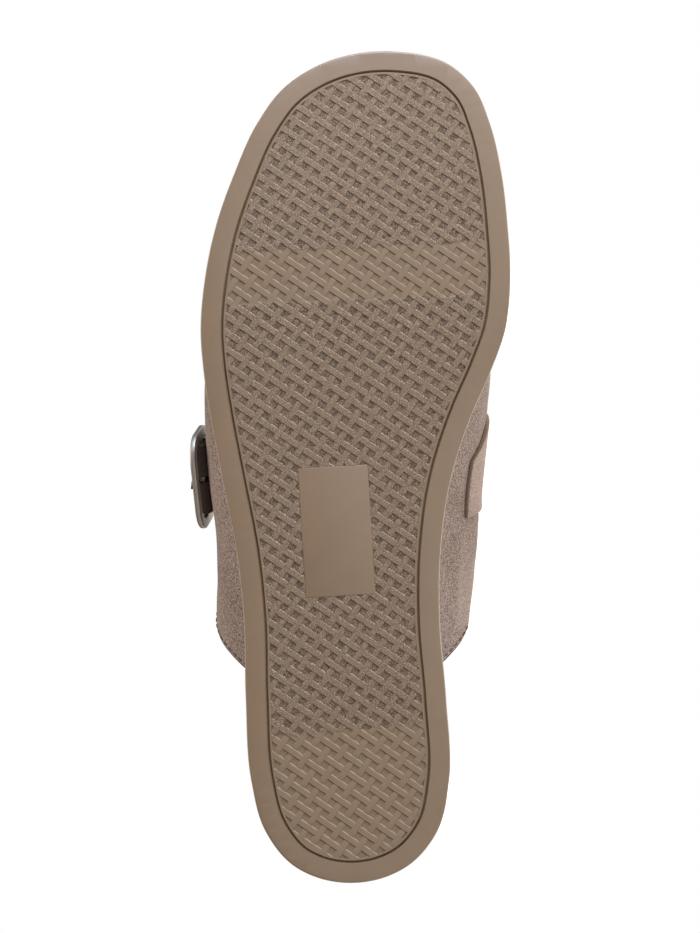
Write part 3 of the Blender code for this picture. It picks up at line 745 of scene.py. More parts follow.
def tread_rubber():
    """The same rubber with short fibres flocked on most of the panel: matt, speckled and soft."""
    made, add, at = new_material("tread_rubber")
    run_along = add("SeparateXYZ", Vector=at, out="X")
    height = add("SeparateXYZ", Vector=at, out="Z")
    ragged = add("TexNoise", Vector=at, Scale=1 / RAGGED_SIZE, Detail=2.0)
    ragged = add("MapRange", Value=ragged, To_Min=-RAGGED_REACH, To_Max=RAGGED_REACH)

    def beyond(slope, start, limit):
        """1 where a place lies further along than this line, or further from it, and 0 before."""
        run = add("VectorMath", operation="DOT_PRODUCT", Vector=at, Vector_001=(1.0, -slope, 0.0))
        run = add("Math", operation="SUBTRACT", Value=run, Value_001=start)
        if limit:
            run = add("Math", operation="ABSOLUTE", Value=run)
        run = add("Math", operation="ADD", Value=run, Value_001=ragged)
        return add(
            "MapRange", Value=run, From_Min=limit - BORDER_BLUR, From_Max=limit + BORDER_BLUR
        )

    flocked = add(
        "Math",
        operation="MULTIPLY",
        Value=beyond(BAND_SLOPE, BAND_CENTRE, BAND_HALF),
        Value_001=beyond(HEEL_BARE_SLOPE, HEEL_BARE_END, 0.0),
    )
    dark, light = RUBBER
    cloud = add("TexNoise", Vector=at, Scale=1 / RUBBER_CLOUD, Detail=3.0)
    bare = add("Mix", data_type="RGBA", Factor_Float=cloud, A_Color=dark, B_Color=light)
    # Pits: painted shade where the rubber is bare; where it is flocked, dark fibres gathered in
    # them, unevenly filled, with painted shade
    spring = add("MapRange", Value=run_along, From_Min=TOE_SPRING_START, From_Max=SOLE_LENGTH)
    spring = add("Math", operation="POWER", Value=spring, Value_001=2.0)
    depth = add(
        "Math", operation="MULTIPLY_ADD", Value=spring, Value_001=-TOE_SPRING, Value_002=height
    )
    sunk = add("MapRange", Value=depth, From_Min=0.2 * POCKET_DEPTH, From_Max=0.9 * POCKET_DEPTH)
    shaded = add("Math", operation="MULTIPLY", Value=sunk, Value_001=SHADE_IN_BARE_PITS)
    bare_pits = add("Mix", data_type="RGBA", Factor_Float=shaded, A_Color=bare, B_Color=STRAND_SHADE)
    fibres = add("TexNoise", Vector=at, Scale=1 / FIBRE_SIZE, Detail=2.0, Roughness=0.6)
    speckle = add("MapRange", Value=fibres, From_Min=0.42, From_Max=0.72)
    dark, light = FLOCK
    flock = add("Mix", data_type="RGBA", Factor_Float=speckle, A_Color=dark, B_Color=light)
    on_top = add("Mix", data_type="RGBA", Factor_Float=FLOCK_ON_TOP, A_Color=bare, B_Color=flock)
    dark, light = PIT_FLOCK_AND_SHADE
    in_pits = add("Mix", data_type="RGBA", Factor_Float=speckle, A_Color=dark, B_Color=light)
    clots = add("TexNoise", Vector=at, Scale=1 / CLOT_SIZE, Detail=2.0)
    open_pit = add("MapRange", Value=clots, From_Min=0.38, From_Max=0.6, To_Min=0.3)
    sunk = add("Math", operation="MULTIPLY", Value=sunk, Value_001=open_pit)
    flock = add("Mix", data_type="RGBA", Factor_Float=sunk, A_Color=on_top, B_Color=in_pits)
    tone = add("Mix", data_type="RGBA", Factor_Float=flocked, A_Color=bare_pits, B_Color=flock)
    # Edges of the strands: a painted highlight towards the toe, with painted glints on the flock,
    # and painted shade towards the heel
    normal = add("NewGeometry", out="Normal")
    ahead = SHOE.to_3x3().normalized() @ Vector((*SLANTING_FORE, 0.0))
    facing = add("VectorMath", operation="DOT_PRODUCT", Vector=normal, Vector_001=ahead)
    glints = add("Math", operation="MULTIPLY", Value=speckle, Value_001=GLINTS_FLOCKED)
    most = add("MapRange", Value=flocked, To_Min=HIGHLIGHT_BARE, To_Max=glints)
    worn = add("MapRange", Value=facing, From_Min=EDGE_FROM, From_Max=EDGE_FULL, To_Max=most)
    tone = add("Mix", data_type="RGBA", Factor_Float=worn, A_Color=tone, B_Color=STRAND_HIGHLIGHT)
    most = add("MapRange", Value=flocked, To_Min=SHADE_BARE, To_Max=SHADE_FLOCKED)
    shaded = add(
        "MapRange",
        Value=facing,
        From_Min=-EDGE_FULL,
        From_Max=-EDGE_FROM,
        To_Min=most,
        To_Max=0.0,
    )
    tone = add("Mix", data_type="RGBA", Factor_Float=shaded, A_Color=tone, B_Color=STRAND_SHADE)
    gloss = add("MapRange", Value=flocked, To_Min=RUBBER_ROUGHNESS, To_Max=NAP_ROUGHNESS)
    fuzz = add("Math", operation="ADD", Value=fibres, Value_001=clots)
    nap = add("Math", operation="MULTIPLY", Value=fuzz, Value_001=flocked)
    bump = add("Bump", Height=nap, Strength=0.45, Distance=0.3 * MM)
    return finish_shader(made, Base_Color=tone, Roughness=gloss, Normal=bump)


def suede(name, colours, gap_shade=None):
    """Split leather with a short brushed nap: matt, finely speckled, with soft brushed clouds."""
    made, add, at = new_material(name)
    dark, light = colours
    nap = add("TexNoise", Vector=at, Scale=1 / NAP_SIZE, Detail=3.0, Roughness=0.6)
    brushed = add("TexNoise", Vector=at, Scale=1 / BRUSHED_SIZE, Detail=2.0)
    spread = add(
        "Math", operation="MULTIPLY_ADD", Value=brushed, Value_001=0.5, Value_002=-0.25
    )
    speckle = add("MapRange", clamp=False, Value=nap, From_Min=0.36, From_Max=0.64)
    factor = add("Math", operation="ADD", use_clamp=True, Value=speckle, Value_001=spread)
    tone = add("Mix", data_type="RGBA", Factor_Float=factor, A_Color=dark, B_Color=light)
    # Painted shade between the fibres: strongest low on the upper, and stronger on the lateral side
    # than on the medial one.
    if gap_shade:
        across = add("SeparateXYZ", Vector=at, out="Y")
        height = add("SeparateXYZ", Vector=at, out="Z")
        most = add(
            "MapRange",
            Value=across,
            From_Min=-GAPS_ACROSS,
            From_Max=GAPS_ACROSS,
            To_Min=GAPS_LATERAL,
            To_Max=GAPS_MEDIAL,
        )
        low = add(
            "MapRange",
            Value=height,
            From_Min=GAPS_UNTIL,
            From_Max=GAPS_END,
            To_Min=most,
            To_Max=0.0,
        )
        gaps = add("TexNoise", Vector=at, Scale=1 / NAP_GAP_SIZE, Detail=1.0)
        gaps = add("MapRange", Value=gaps, From_Min=0.55, From_Max=0.61, To_Max=low)
        tone = add("Mix", data_type="RGBA", Factor_Float=gaps, A_Color=tone, B_Color=gap_shade)
    bump = add("Bump", Height=nap, Strength=0.6, Distance=0.25 * MM)
    return finish_shader(
        made,
        Base_Color=tone,
        Normal=bump,
        Roughness=NAP_ROUGHNESS,
        Sheen_Weight=0.25,
        Sheen_Roughness=0.5,
        Sheen_Tint=light,
    )


def cut_edge(name, colours):
    """The raw cut side of leather: matt, in fine layers."""
    made, add, at = new_material(name)
    dark, light = colours
    layers = add("TexNoise", Vector=at, Scale=1 / LAYER_SIZE, Detail=3.0, Roughness=0.6)
    tone = add("Mix", data_type="RGBA", Factor_Float=layers, A_Color=dark, B_Color=light)
    bump = add("Bump", Height=layers, Strength=0.5, Distance=0.15 * MM)
    return finish_shader(made, Base_Color=tone, Normal=bump, Roughness=0.9)


def woven_lining():
    """A fine woven textile glued inside the upper: matt, with a close thread texture."""
    made, add, at = new_material("woven_lining")
    dark, light = LINING
    threads = add(
        "TexWave",
        Vector=at,
        Scale=1 / LINING_THREAD,
        Distortion=2.0,
        Detail=2.0,
        Detail_Scale=3.0,
    )
    tone = add("Mix", data_type="RGBA", Factor_Float=threads, A_Color=dark, B_Color=light)
    bump = add("Bump", Height=threads, Strength=0.3, Distance=0.1 * MM)
    return finish_shader(made, Base_Color=tone, Normal=bump, Roughness=0.9)


def satin_pewter(name, colours):
    """Zinc or wire plated in pewter and brushed lengthwise: soft grey, satin."""
    made, add, at = new_material(name)
    dark, light = colours
    stretch = [1 / size for size in BRUSH_MARK]
    drawn = add("Mapping", Vector=at, Scale=stretch)
    brush = add("TexNoise", Vector=drawn, Scale=1.0, Detail=3.0, Roughness=0.6)
    tone = add("Mix", data_type="RGBA", Factor_Float=brush, A_Color=dark, B_Color=light)
    gloss = add("MapRange", Value=brush, To_Min=0.42, To_Max=0.58)
    bump = add("Bump", Height=brush, Strength=0.1, Distance=0.05 * MM)
    return finish_shader(made, Base_Color=tone, Roughness=gloss, Normal=bump, Metallic=1.0)


def waxed_thread():
    """Twisted polyester thread: dark, with a little shine on its twist."""
    made, add, at = new_material("waxed_thread")
    dark, light = THREAD
    twist = add("TexNoise", Vector=at, Scale=1 / TWIST_SIZE, Detail=2.0)
    tone = add("Mix", data_type="RGBA", Factor_Float=twist, A_Color=dark, B_Color=light)
    return finish_shader(made, Base_Color=tone, Roughness=0.6)


def matt_floor():
    """A white paper sweep: matt, with a faint tone from its fibres."""
    made, add, at = new_material("matt_floor")
    dark, light = PAPER
    fibres = add("TexNoise", Vector=at, Scale=1 / PAPER_CLOUD, Detail=2.0)
    tone = add("Mix", data_type="RGBA", Factor_Float=fibres, A_Color=dark, B_Color=light)
    return finish_shader(
        made,
        Base_Color=tone,
        Emission_Color=tone,
        Roughness=0.9,
        Emission_Strength=FLOOR_GLOW,
    )


# Pieces


def make_outsole(rubber, tread, worn):
    """Rim, walls, groove and the pocket that the tread's strands stand in."""
    sole = disc("moulded_outsole", sole_outline(SOLE_POINTS), SOLE_EDGE_ROUND)
    thicken(sole, SOLE_DRAFT - 2 * SOLE_EDGE_ROUND)
    for finish in (rubber, tread, worn):
        sole.data.materials.append(finish)
    round_edge = quarter_round(SOLE_EDGE_ROUND)
    select_faces(sole, lambda face: face.normal.z > 0.9)
    press(round_edge)
    edit(sole, "OBJECT")
    select_faces(sole, lambda face: face.normal.z < -0.9)
    press(round_edge)
    edit(sole, "OBJECT")
    # The round edge's faces that look down and outwards get the paler copy of the rubber: a painted
    # highlight where the edge catches the light.
    for face in sole.data.polygons:
        if RIM_HIGHLIGHT_TURN[0] < face.normal.z < RIM_HIGHLIGHT_TURN[1]:
            face.material_index = 2
    select_faces(sole, lambda face: face.normal.z < -0.99)
    press(
        [
            (RIM_WIDTH - SOLE_EDGE_ROUND, 0.0),
            (GROOVE_WIDTH / 2, -GROOVE_DEPTH),
            (GROOVE_WIDTH / 2, GROOVE_DEPTH),
            (PANEL_BORDER, 0.0),
            (POCKET_WALL, -POCKET_DEPTH),
        ]
    )
    sole.active_material_index = 1
    bpy.ops.object.material_slot_assign()
    for at in np.arange(SOLE_SLICE, SOLE_LENGTH, SOLE_SLICE):
        bpy.ops.mesh.select_all(action="SELECT")
        bpy.ops.mesh.bisect(
            plane_co=(float(at), 0.0, 0.0), plane_no=(1.0, 0.0, 0.0), threshold=0.001
        )
    edit(sole, "OBJECT")
    points = read_points(sole)
    along, up = points[:, 0], points[:, 2]
    low = up + toe_lift(along)
    high = sole_top(along) - (SOLE_DRAFT - up)
    points[:, 2] = np.where(up < SOLE_DRAFT / 2, low, high)
    write_points(sole, points)
    shade(sole, 32)
    hand_over(sole, ["outsole"])


def tread_bar(name):
    """One strand where it lies on top: flat in the middle, chamfered, and dipping at its ends."""
    size = (BAR_LENGTH, BAR_WIDTH, BAR_HEIGHT)
    bar = block(name, size, (0.0, 0.0, BAR_HEIGHT / 2), 0.0)
    edit(bar)
    flat_end = BAR_FLAT / 2
    half_way = (BAR_FLAT + BAR_LENGTH) / 4
    for at in (-half_way, -flat_end, flat_end, half_way):
        bpy.ops.mesh.select_all(action="SELECT")
        bpy.ops.mesh.bisect(plane_co=(at, 0.0, 0.0), plane_no=(1.0, 0.0, 0.0))
    bpy.ops.mesh.select_mode(type="EDGE")
    bpy.ops.mesh.select_all(action="DESELECT")
    edit(bar, "OBJECT")
    points = read_points(bar)
    for edge in bar.data.edges:
        ends = points[list(edge.vertices)]
        worn = ends[:, 2].max() < BAR_HEIGHT / 2
        lengthwise = abs(ends[0, 1] - ends[1, 1]) < BAR_WIDTH / 2
        edge.select = bool(worn and lengthwise)
    bpy.ops.object.mode_set(mode="EDIT")
    bpy.ops.mesh.bevel(offset=BAR_CHAMFER, segments=1, affect="EDGES")
    edit(bar, "OBJECT")
    points = read_points(bar)
    past = np.clip(np.abs(points[:, 0]) - BAR_FLAT / 2, 0.0, None)
    share = past / ((BAR_LENGTH - BAR_FLAT) / 2)
    worn = points[:, 2] < BAR_HEIGHT / 2
    points[:, 2] += np.where(worn, BAR_DIP * share**2, 0.0)
    write_points(bar, points)
    return bar


def make_tread(tread):
    """The strands of the weave, clipped to the panel and kept clear of the plate."""
    panel_inset = RIM_WIDTH + GROOVE_WIDTH + PANEL_BORDER
    panel_outline = inset_outline(sole_outline(SOLE_POINTS), panel_inset)
    panel = disc("panel_block", panel_outline, CLIP_LOW)
    thicken(panel, CLIP_HEIGHT)
    plate_size = (PLATE_LENGTH, PLATE_WIDTH, CLIP_HEIGHT)
    plate_middle = (*PLATE_CENTRE, CLIP_LOW + CLIP_HEIGHT / 2)
    cut = block("plate_block", plate_size, plate_middle, -PLATE_TURN)
    slanting_back = np.array(SLANTING_BACK)
    slanting_fore = np.array(SLANTING_FORE)
    steps = WEAVE_PITCH * np.array(
        (slanting_back + slanting_fore, slanting_back - slanting_fore)
    )
    first = np.array(WEAVE_ANCHOR)
    reach = (FINE_OUTLINE - first) @ steps.T / (2 * WEAVE_PITCH**2)
    low = np.floor(reach.min(axis=0))
    counts = np.ceil(reach.max(axis=0)) - low + 1
    strands = []
    for name, direction, shift, sink in (
        ("strands_back", slanting_back, 0.0, 0.0),
        ("strands_fore", slanting_fore, 1.0, BAR_SINK),
    ):
        bar = tread_bar(name)
        corner = first + shift * WEAVE_PITCH * slanting_back + low @ steps
        turn = Matrix.Rotation(math.atan2(direction[1], direction[0]), 4, "Z")
        bar.data.transform(Matrix.Translation((*corner, sink)) @ turn)
        for step, count in zip(steps, counts):
            modify(
                bar,
                "ARRAY",
                count=int(count),
                use_relative_offset=False,
                use_constant_offset=True,
                constant_offset_displace=(*step, 0.0),
            )
        modify(bar, "BOOLEAN", operation="INTERSECT", object=panel, solver="MANIFOLD")
        modify(bar, "BOOLEAN", operation="DIFFERENCE", object=cut, solver="MANIFOLD")
        strands.append(bar)
    weave = join(strands, "tread_weave")
    remove(panel, cut)
    weave.data.materials.clear()
    weave.data.materials.append(tread)
    points = read_points(weave)
    points[:, 2] += toe_lift(points[:, 0])
    write_points(weave, points)
    shade(weave, 25)
    hand_over(weave)


def make_plate(rubber):
    """The smooth bare plate in the waist of the tread."""
    size = (PLATE_LENGTH, PLATE_WIDTH, BAR_HEIGHT)
    plate = block("tread_plate", size, (*PLATE_CENTRE, BAR_HEIGHT / 2), -PLATE_TURN)
    modify(plate, "BEVEL", width=PLATE_EDGE, segments=3)
    plate.data.materials.append(rubber)
    shade(plate, 40)
    hand_over(plate)


def fold_rise(along, swing):
    """How far the listed folds lift the suede."""
    place = np.stack([along, swing * SWING_SPAN], axis=-1)
    rise = np.zeros(along.shape)
    for fold in FOLDS:
        start_at = np.array((fold.from_along, fold.from_swing * SWING_SPAN))
        run = np.array((fold.to_along, fold.to_swing * SWING_SPAN)) - start_at
        share = np.clip((place - start_at) @ run / (run @ run), 0.0, 1.0)
        away = np.linalg.norm(place - start_at - share[..., None] * run, axis=-1)
        rise += fold.rise * np.exp(-((away / fold.width) ** 2))
    return rise


def strap_squeeze(along, swing):
    """The suede is pressed in under the strap and swells a little beside it."""
    rows = STRAP_SECTIONS[::-1]
    rear = column(rows, "rear", swing, "swing")
    front = column(rows, "front", swing, "swing")
    tab_end = (STRAP_SECTIONS[0].swing - swing) * SWING_SPAN
    inside = np.minimum(np.minimum(along - rear, front - along), tab_end)
    under = ease(*SQUEEZE_EDGE, inside)
    beside = np.exp(-(((inside + SWELL_AWAY) / SWELL_WIDTH) ** 2))
    held = ease(*SQUEEZE_SWING, swing)
    return held * SQUEEZE * (beside - under), under * held


def make_upper(face, lining, edge):
    """The suede wall with its folds, its lining and its collar edge."""

    def place(run, over):
        swing = 1 - 2 * over
        end = collar_along(swing)
        turn = (TIP_START + (1 - TIP_START) * run) * math.pi / 2
        along = UPPER_TIP - (UPPER_TIP - end) * (1 - np.cos(turn))
        squeeze, under = strap_squeeze(along, swing)
        rise = fold_rise(along, swing) * (1 - under) + squeeze
        points = on_upper(along, swing, rise)
        points[:, 2] -= GAP * (1 - ease(0.0, FOOT_SHARE, 1 - np.abs(swing)))
        return points

    upper = grid_sheet("suede_upper", UPPER_STATIONS, UPPER_LANES, place)
    edit(upper)
    bpy.ops.mesh.select_mode(type="VERT")
    bpy.ops.mesh.select_all(action="DESELECT")
    edit(upper, "OBJECT")
    for corner in range(0, len(upper.data.vertices), UPPER_STATIONS + 1):
        upper.data.vertices[corner].select = True
    edit(upper)
    bpy.ops.mesh.edge_face_add()
    edit(upper, "OBJECT")
    weld(upper, True)
    for finish in (face, lining, edge):
        upper.data.materials.append(finish)
    give_wall(upper, UPPER_THICKNESS, -1.0, 2)
    select_faces(upper, lambda face: face.material_index == 2 and face.normal.z > -0.5)
    bpy.ops.mesh.region_to_loop()
    bpy.ops.mesh.bevel(offset=COLLAR_ROUND, segments=3, affect="EDGES", material=2)
    edit(upper, "OBJECT")
    shade(upper, 60)
    hand_over(upper, ["upper"])


def stitch_row(name, path, outward, thread):
    """A row of stitches along a path that lies on a surface."""
    steps = np.linalg.norm(np.diff(path, axis=0), axis=1)
    run = np.concatenate([[0.0], np.cumsum(steps)])
    count = int(run[-1] // (STITCH_LENGTH + STITCH_GAP))
    centres = (np.arange(count) + 0.5) * run[-1] / count
    bpy.ops.mesh.primitive_uv_sphere_add(segments=8, ring_count=6, radius=0.5)
    model = start(name)
    model.data.transform(Matrix.Diagonal((STITCH_LENGTH, STITCH_WIDTH, STITCH_HEIGHT, 1.0)))
    model.data.materials.append(thread)

    def read(values, at):
        return Vector([np.interp(at, run, values[:, k]) for k in range(3)])

    stitches = []
    for centre in centres:
        half = STITCH_LENGTH / 2
        ahead = read(path, centre + half) - read(path, centre - half)
        ahead.normalize()
        out = read(outward, centre)
        out = (out - ahead * out.dot(ahead)).normalized()
        stitch = model.copy()
        stitch.data = model.data.copy()
        turn = Matrix((ahead, out.cross(ahead), out)).transposed().to_4x4()
        stitch.matrix_world = Matrix.Translation(read(path, centre)) @ turn
        bpy.context.scene.collection.objects.link(stitch)
        stitches.append(stitch)
    remove(model)
    row = join(stitches, name)
    shade(row, 60)
    return row


def make_collar_stitches(thread):
    swing = np.linspace(STITCH_ROW_END, -STITCH_ROW_END, STITCH_ROW_POINTS)
    along = collar_along(swing)
    edge = upper_point(along, swing)
    tangent = np.gradient(edge, axis=0)
    tangent /= np.linalg.norm(tangent, axis=1)[:, None]
    inwards = upper_point(along + 1.0, swing) - edge
    inwards -= tangent * np.einsum("ij,ij->i", inwards, tangent)[:, None]
    row_along = along + STITCH_INSET / np.linalg.norm(inwards, axis=1)
    path = on_upper(row_along, swing, np.full(swing.shape, STITCH_LIFT))
    row = stitch_row("collar_stitches", path, upper_normal(row_along, swing), thread)
    hand_over(row)


def footbed_top(along, across):
    """The footbed's upper face: cupped at the heel and raised under the arch."""
    cup = HEEL_CUP * (across / HEEL_HALF_WIDTH) ** 2 * (1 - ease(0.0, HEEL_CUP_END, along))
    hump = np.exp(-(((along - ARCH_ALONG) / ARCH_SPAN) ** 2))
    arch = ARCH_RISE * hump * ease(0.0, HEEL_HALF_WIDTH, across)
    return sole_top(along) + GAP + FOOTBED_THICKNESS + cup + arch


def make_footbed(cover):
    covered = ease(FOOTBED_OPEN_UNTIL, FOOTBED_COVERED_FROM, FINE_OUTLINE[:, 0])
    under_upper = feather_inset(FINE_OUTLINE[:, 0]) + UPPER_THICKNESS + 2 * GAP
    margin = FOOTBED_HEEL_INSET + (under_upper - FOOTBED_HEEL_INSET) * covered
    outline = inset_outline(FINE_OUTLINE, margin)
    low, high = outline[:, 0].min(), outline[:, 0].max()

    def place(run, over):
        along = low + (high - low) * (1 - np.cos(math.pi * run)) / 2
        lateral = edge_across(outline, along, False)
        medial = edge_across(outline, along, True)
        across = lateral + (medial - lateral) * over
        return np.stack([along, across, footbed_top(along, across)], axis=-1)

    bed = grid_sheet("footbed", FOOTBED_STATIONS, FOOTBED_LANES, place)
    weld(bed, False)
    edit(bed)
    bpy.ops.mesh.select_all(action="SELECT")
    bpy.ops.mesh.extrude_region_move(TRANSFORM_OT_translate={"value": (0.0, 0.0, -1.0)})
    edit(bed, "OBJECT")
    under = np.array([vertex.select for vertex in bed.data.vertices])
    points = read_points(bed)
    points[under, 2] = sole_top(points[under, 0])
    write_points(bed, points)
    weld(bed, True)
    soften(bed, FOOTBED_EDGE_ROUND, 4, 50)
    bed.data.materials.append(cover)
    shade(bed, 60)
    hand_over(bed, ["insole"])


def lateral_swing(along, up):
    """The swing at which the upper's lateral side is this high."""
    rise = np.linspace(0.0, 1.0, SWING_SAMPLES)
    share = (up - sole_top(along) - GAP) / column(UPPER_SECTIONS, "crown", along)
    return np.interp(share, height_share(rise), rise) - 1.0


def at_buckle(over, up, out):
    """A row of points over the strap's width, given in the buckle's own frame."""
    place = buckle_place()
    return np.array([place @ Vector((x, up, out)) for x in (over - 0.5) * STRAP_END_WIDTH])


def strap_middle():
    """Rows of points down the strap's middle, from its tab to the end folded under the bar."""
    over = np.linspace(0.0, 1.0, STRAP_LANES + 1)
    rows = [
        (row.rear + (row.front - row.rear) * over, row.swing + row.skew * (over - 0.5))
        for row in STRAP_SECTIONS
    ]
    leaving = at_buckle(over, STRAP_LEAVES_AT, -BAR_OFFSET)
    rows.append((leaving[:, 0], lateral_swing(leaving[:, 0], leaving[:, 2])))
    rows = np.array(rows)
    knots = -rows[:, 1].mean(axis=1)
    at = np.linspace(knots[0], knots[-1], STRAP_ROWS)
    lying = smooth_through(knots, rows.reshape(len(rows), -1), at).reshape(STRAP_ROWS, 2, -1)
    rest = np.full((STRAP_ROWS, STRAP_LANES + 1), STRAP_REST)
    middle = list(on_upper(lying[:, 0], lying[:, 1], rest))
    reach = BUCKLE_THICKNESS / 2 + GAP + STRAP_THICKNESS / 2
    left, arrived = middle[-1], at_buckle(over, STRAP_OVER_BAR, reach)
    for share in ease(0.0, 1.0, np.linspace(0.0, 1.0, SPAN_ROWS + 1)[1:]):
        middle.append(left + (arrived - left) * share)
    for turn in np.linspace(math.pi / 2, 3 * math.pi / 2, LOOP_ROWS):
        up = reach * math.cos(turn) - BUCKLE_BAR / 2
        middle.append(at_buckle(over, up, reach * math.sin(turn)))
    for up in np.linspace(-BUCKLE_BAR / 2, STRAP_END, END_ROWS + 1)[1:]:
        middle.append(at_buckle(over, up, -reach))
    return np.array(middle)


def make_strap(face, edge, lining):
    """The strap from its sewn tab, over the instep, round the buckle's bar and back under."""
    middle = strap_middle()
    last = len(middle) - 1
    slot_from = (STRAP_ROWS + SPAN_ROWS // 2) / last
    loop_from = (STRAP_ROWS + SPAN_ROWS) / last

    def in_slot(run, over):
        return abs(over - 0.5) * STRAP_LANES < SLOT_LANES / 2 and run > slot_from

    def place(run, over):
        row = np.rint(run * last).astype(int)
        lane = np.rint(over * STRAP_LANES).astype(int)
        return middle[row, lane]

    def loop_finish(run, over):
        return 1 if run > loop_from else 0

    strap = grid_sheet("instep_strap", last, STRAP_LANES, place, in_slot, loop_finish)
    # The loop round the bar takes the dark lining on every face: painted shade in the buckle's
    # window.
    for finish in (face, lining, lining, edge, lining):
        strap.data.materials.append(finish)
    give_wall(strap, STRAP_THICKNESS, 0.0, 3)
    soften(strap, STRAP_EDGE_ROUND, 2, 50)
    shade(strap, 50)
    hand_over(strap, ["strap"])


def buckle_place():
    """The buckle's own frame on the lateral side: X fore, Y up the strap, Z out of the shoe."""
    origin = Vector(on_upper(BUCKLE_ALONG, BUCKLE_SWING, BAR_OFFSET))
    toe_in = Matrix.Rotation(BUCKLE_TOE_IN, 3, "Z")
    out = toe_in @ Vector(upper_normal(np.array(BUCKLE_ALONG), np.array(BUCKLE_SWING)))
    up = Vector((math.sin(BUCKLE_LEAN), 0.0, math.cos(BUCKLE_LEAN)))
    up = (up - out * up.dot(out)).normalized()
    turn = Matrix((up.cross(out), up, out)).transposed()
    return Matrix.Translation(origin) @ turn.to_4x4()


def rounded_box(width, height, centre_y, top_corner, bottom_corner):
    """Points round a rectangle with round corners."""
    points = []
    for quarter, (side_x, side_y) in enumerate(((1, 1), (-1, 1), (-1, -1), (1, -1))):
        corner = top_corner if side_y > 0 else bottom_corner
        for step in range(CORNER_STEPS):
            angle = math.pi / 2 * (quarter + step / (CORNER_STEPS - 1))
            x = side_x * (width / 2 - corner) + corner * math.cos(angle)
            y = centre_y + side_y * (height / 2 - corner) + corner * math.sin(angle)
            points.append((x, y, 0.0))
    return points


def add_spline(curve, points, closed):
    spline = curve.splines.new("POLY")
    spline.points.add(len(points) - 1)
    for item, point in zip(spline.points, points):
        item.co = (*point, 1.0)
    spline.use_cyclic_u = closed
    return spline


def mesh_from_curve(curve, name, finish):
    """Turns a curve in the buckle's frame into a mesh in the shoe's frame."""
    drawn = bpy.data.objects.new(name, curve)
    bpy.context.scene.collection.objects.link(drawn)
    pick(drawn)
    bpy.ops.object.convert(target="MESH")
    piece = start(name)
    piece.data.transform(buckle_place())
    weld(piece, True)
    piece.data.materials.clear()
    piece.data.materials.append(finish)
    return piece


def make_buckle_frame(pewter):
    curve = bpy.data.curves.new("buckle_rails", "CURVE")
    curve.dimensions = "2D"
    curve.fill_mode = "BOTH"
    curve.extrude = BUCKLE_THICKNESS / 2 - BUCKLE_EDGE_ROUND
    curve.bevel_depth = BUCKLE_EDGE_ROUND
    curve.bevel_resolution = 3
    curve.offset = -BUCKLE_EDGE_ROUND
    rim = rounded_box(BUCKLE_LENGTH, BUCKLE_HEIGHT, 0.0, BUCKLE_CORNER, BUCKLE_CORNER)
    add_spline(curve, rim, True)
    window_length = BUCKLE_LENGTH - 2 * BUCKLE_SIDE_RAIL
    window_height = (BUCKLE_HEIGHT - 2 * BUCKLE_END_RAIL - BUCKLE_BAR) / 2
    rail_corner = BUCKLE_CORNER - BUCKLE_END_RAIL
    for side, top_corner, bottom_corner in (
        (1, rail_corner, BAR_CORNER),
        (-1, BAR_CORNER, rail_corner),
    ):
        centre = side * (BUCKLE_BAR + window_height) / 2
        window = rounded_box(window_length, window_height, centre, top_corner, bottom_corner)
        add_spline(curve, window, True)
    rails = mesh_from_curve(curve, "buckle_rails", pewter)
    shade(rails, 40)
    hand_over(rails, ["buckle_frame"])


def make_buckle_prong(pewter):
    """A wire that hooks on the bar from above and rests on the frame's lower rail."""
    rest = BUCKLE_THICKNESS / 2 + PRONG_REST + PRONG_RADIUS * PRONG_TIP
    rail = BUCKLE_HEIGHT / 2 - BUCKLE_END_RAIL / 2
    path = []
    for angle in np.radians(np.linspace(PRONG_HOOK_START, 90.0, PRONG_HOOK_STEPS)):
        hook = PRONG_HOOK_RADIUS
        path.append((0.0, hook * math.cos(angle), hook * math.sin(angle)))
    path.append((0.0, -rail / 2, (PRONG_HOOK_RADIUS + rest) / 2))
    path.append((0.0, -rail, rest))
    path.append((0.0, -rail - PRONG_OVERHANG, rest))
    curve = bpy.data.curves.new("buckle_wire", "CURVE")
    curve.dimensions = "3D"
    curve.bevel_depth = PRONG_RADIUS
    curve.bevel_resolution = 5
    curve.use_fill_caps = True
    spline = add_spline(curve, path, False)
    for point in spline.points[-2:]:
        point.radius = PRONG_TIP
    wire = mesh_from_curve(curve, "buckle_wire", pewter)
    soften(wire, PRONG_EDGE_ROUND, 3, 60)
    shade(wire, 45)
    hand_over(wire, ["buckle_prong"])


# Stage


def make_floor(paper):
    bpy.ops.mesh.primitive_plane_add(size=FLOOR_SIZE)
    floor = start("floor")
    floor.data.materials.append(paper)


def make_world():
    """White paper all round, which lights the shoe less than it shows."""
    world = bpy.data.worlds.new("studio")
    bpy.context.scene.world = world
    world.use_nodes = True
    tree = world.node_tree
    seen = add_node(tree, "LightPath", out="Is Camera Ray")
    strength = add_node(tree, "MapRange", Value=seen, To_Min=AMBIENT, To_Max=1.0)
    set_inputs(tree, tree.nodes["Background"], {"Color": "#ffffff", "Strength": strength})


def make_lights():
    for row in LIGHTS:
        light = bpy.data.lights.new(row.name, "AREA")
        light.size = row.size
        light.energy = row.power
        light.color = linear(row.colour)[:3]
        lamp = bpy.data.objects.new(row.name, light)
        lamp.location = row.place
        ahead = Vector(row.aim) - Vector(row.place)
        lamp.rotation_euler = ahead.to_track_quat("-Z", "Y").to_euler()
        bpy.context.scene.collection.objects.link(lamp)


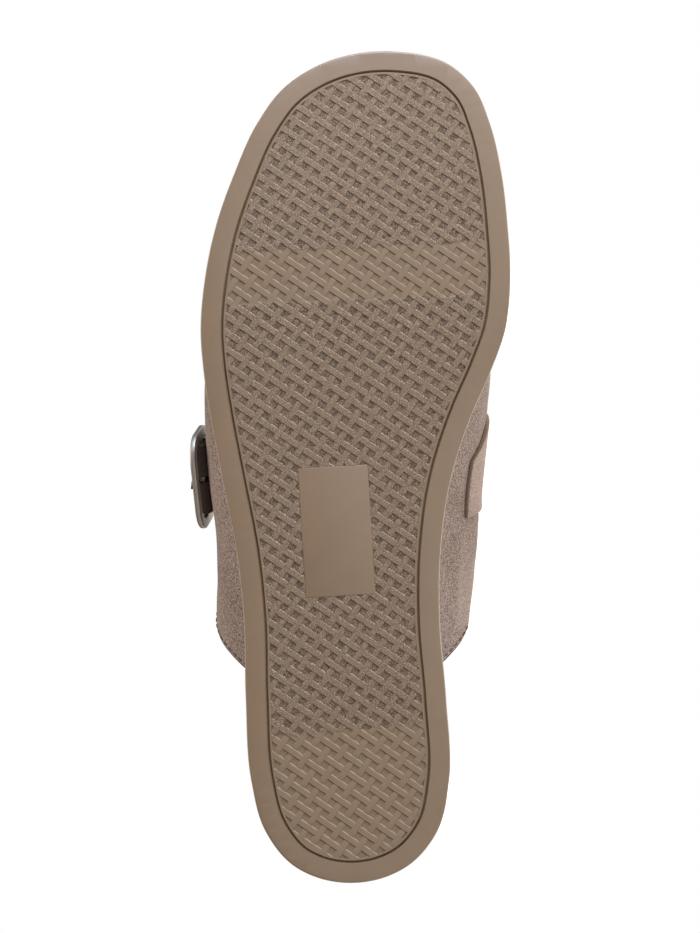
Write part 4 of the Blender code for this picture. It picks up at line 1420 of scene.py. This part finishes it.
def make_camera():
    """Looks straight onto the tread with the toe up, from just over the floor."""
    along, across = VIEW_CENTRE
    level = SHOE @ Vector((along, across, -CAMERA_DISTANCE))
    lateral_rise = -(SHOE.to_3x3() @ Vector((0.0, 1.0, 0.0))).z
    aside = max(0.0, (CAMERA_CLEARANCE * MM - level.z) / lateral_rise)
    view_height = PICTURE_HEIGHT * MM_PER_PIXEL
    data = bpy.data.cameras.new("camera")
    data.sensor_fit = "VERTICAL"
    data.sensor_height = SENSOR_HEIGHT
    data.lens = SENSOR_HEIGHT * CAMERA_DISTANCE / view_height
    data.shift_x = aside / view_height
    camera = bpy.data.objects.new("camera", data)
    turn = SHOE.to_3x3().normalized()
    right, upright, back = turn.col[1], turn.col[0], -turn.col[2]
    facing = Matrix((right, upright, back)).transposed().to_4x4()
    place = SHOE @ Vector((along, across - aside, -CAMERA_DISTANCE))
    camera.matrix_world = Matrix.Translation(place) @ facing
    bpy.context.scene.collection.objects.link(camera)
    bpy.context.scene.camera = camera


def main():
    rubber = moulded_rubber("moulded_rubber", RUBBER)
    # A paler copy of the rubber: a painted highlight on the sole's round edge.
    worn = moulded_rubber("worn_rubber", RIM_HIGHLIGHT)
    tread = tread_rubber()
    upper_suede = suede("mushroom_suede", UPPER_SUEDE, NAP_GAP_SHADE)
    strap_suede = suede("strap_suede", STRAP_SUEDE)
    cover = suede("footbed_suede", FOOTBED_SUEDE)
    collar_edge = cut_edge("collar_edge", COLLAR_EDGE)
    strap_edge = cut_edge("strap_edge", STRAP_EDGE)
    strap_lining = cut_edge("strap_lining", STRAP_LINING_SHADE)
    pewter = satin_pewter("satin_pewter", PEWTER)
    dull_pewter = satin_pewter("dull_pewter", SHADED_PEWTER)
    thread = waxed_thread()
    make_outsole(rubber, tread, worn)
    make_tread(tread)
    make_plate(rubber)
    make_upper(upper_suede, woven_lining(), collar_edge)
    make_collar_stitches(thread)
    make_footbed(cover)
    make_strap(strap_suede, strap_edge, strap_lining)
    make_buckle_frame(pewter)
    make_buckle_prong(dull_pewter)
    make_floor(matt_floor())
    make_world()
    make_lights()
    make_camera()
    bpy.context.scene.view_settings.view_transform = "Standard"


main()
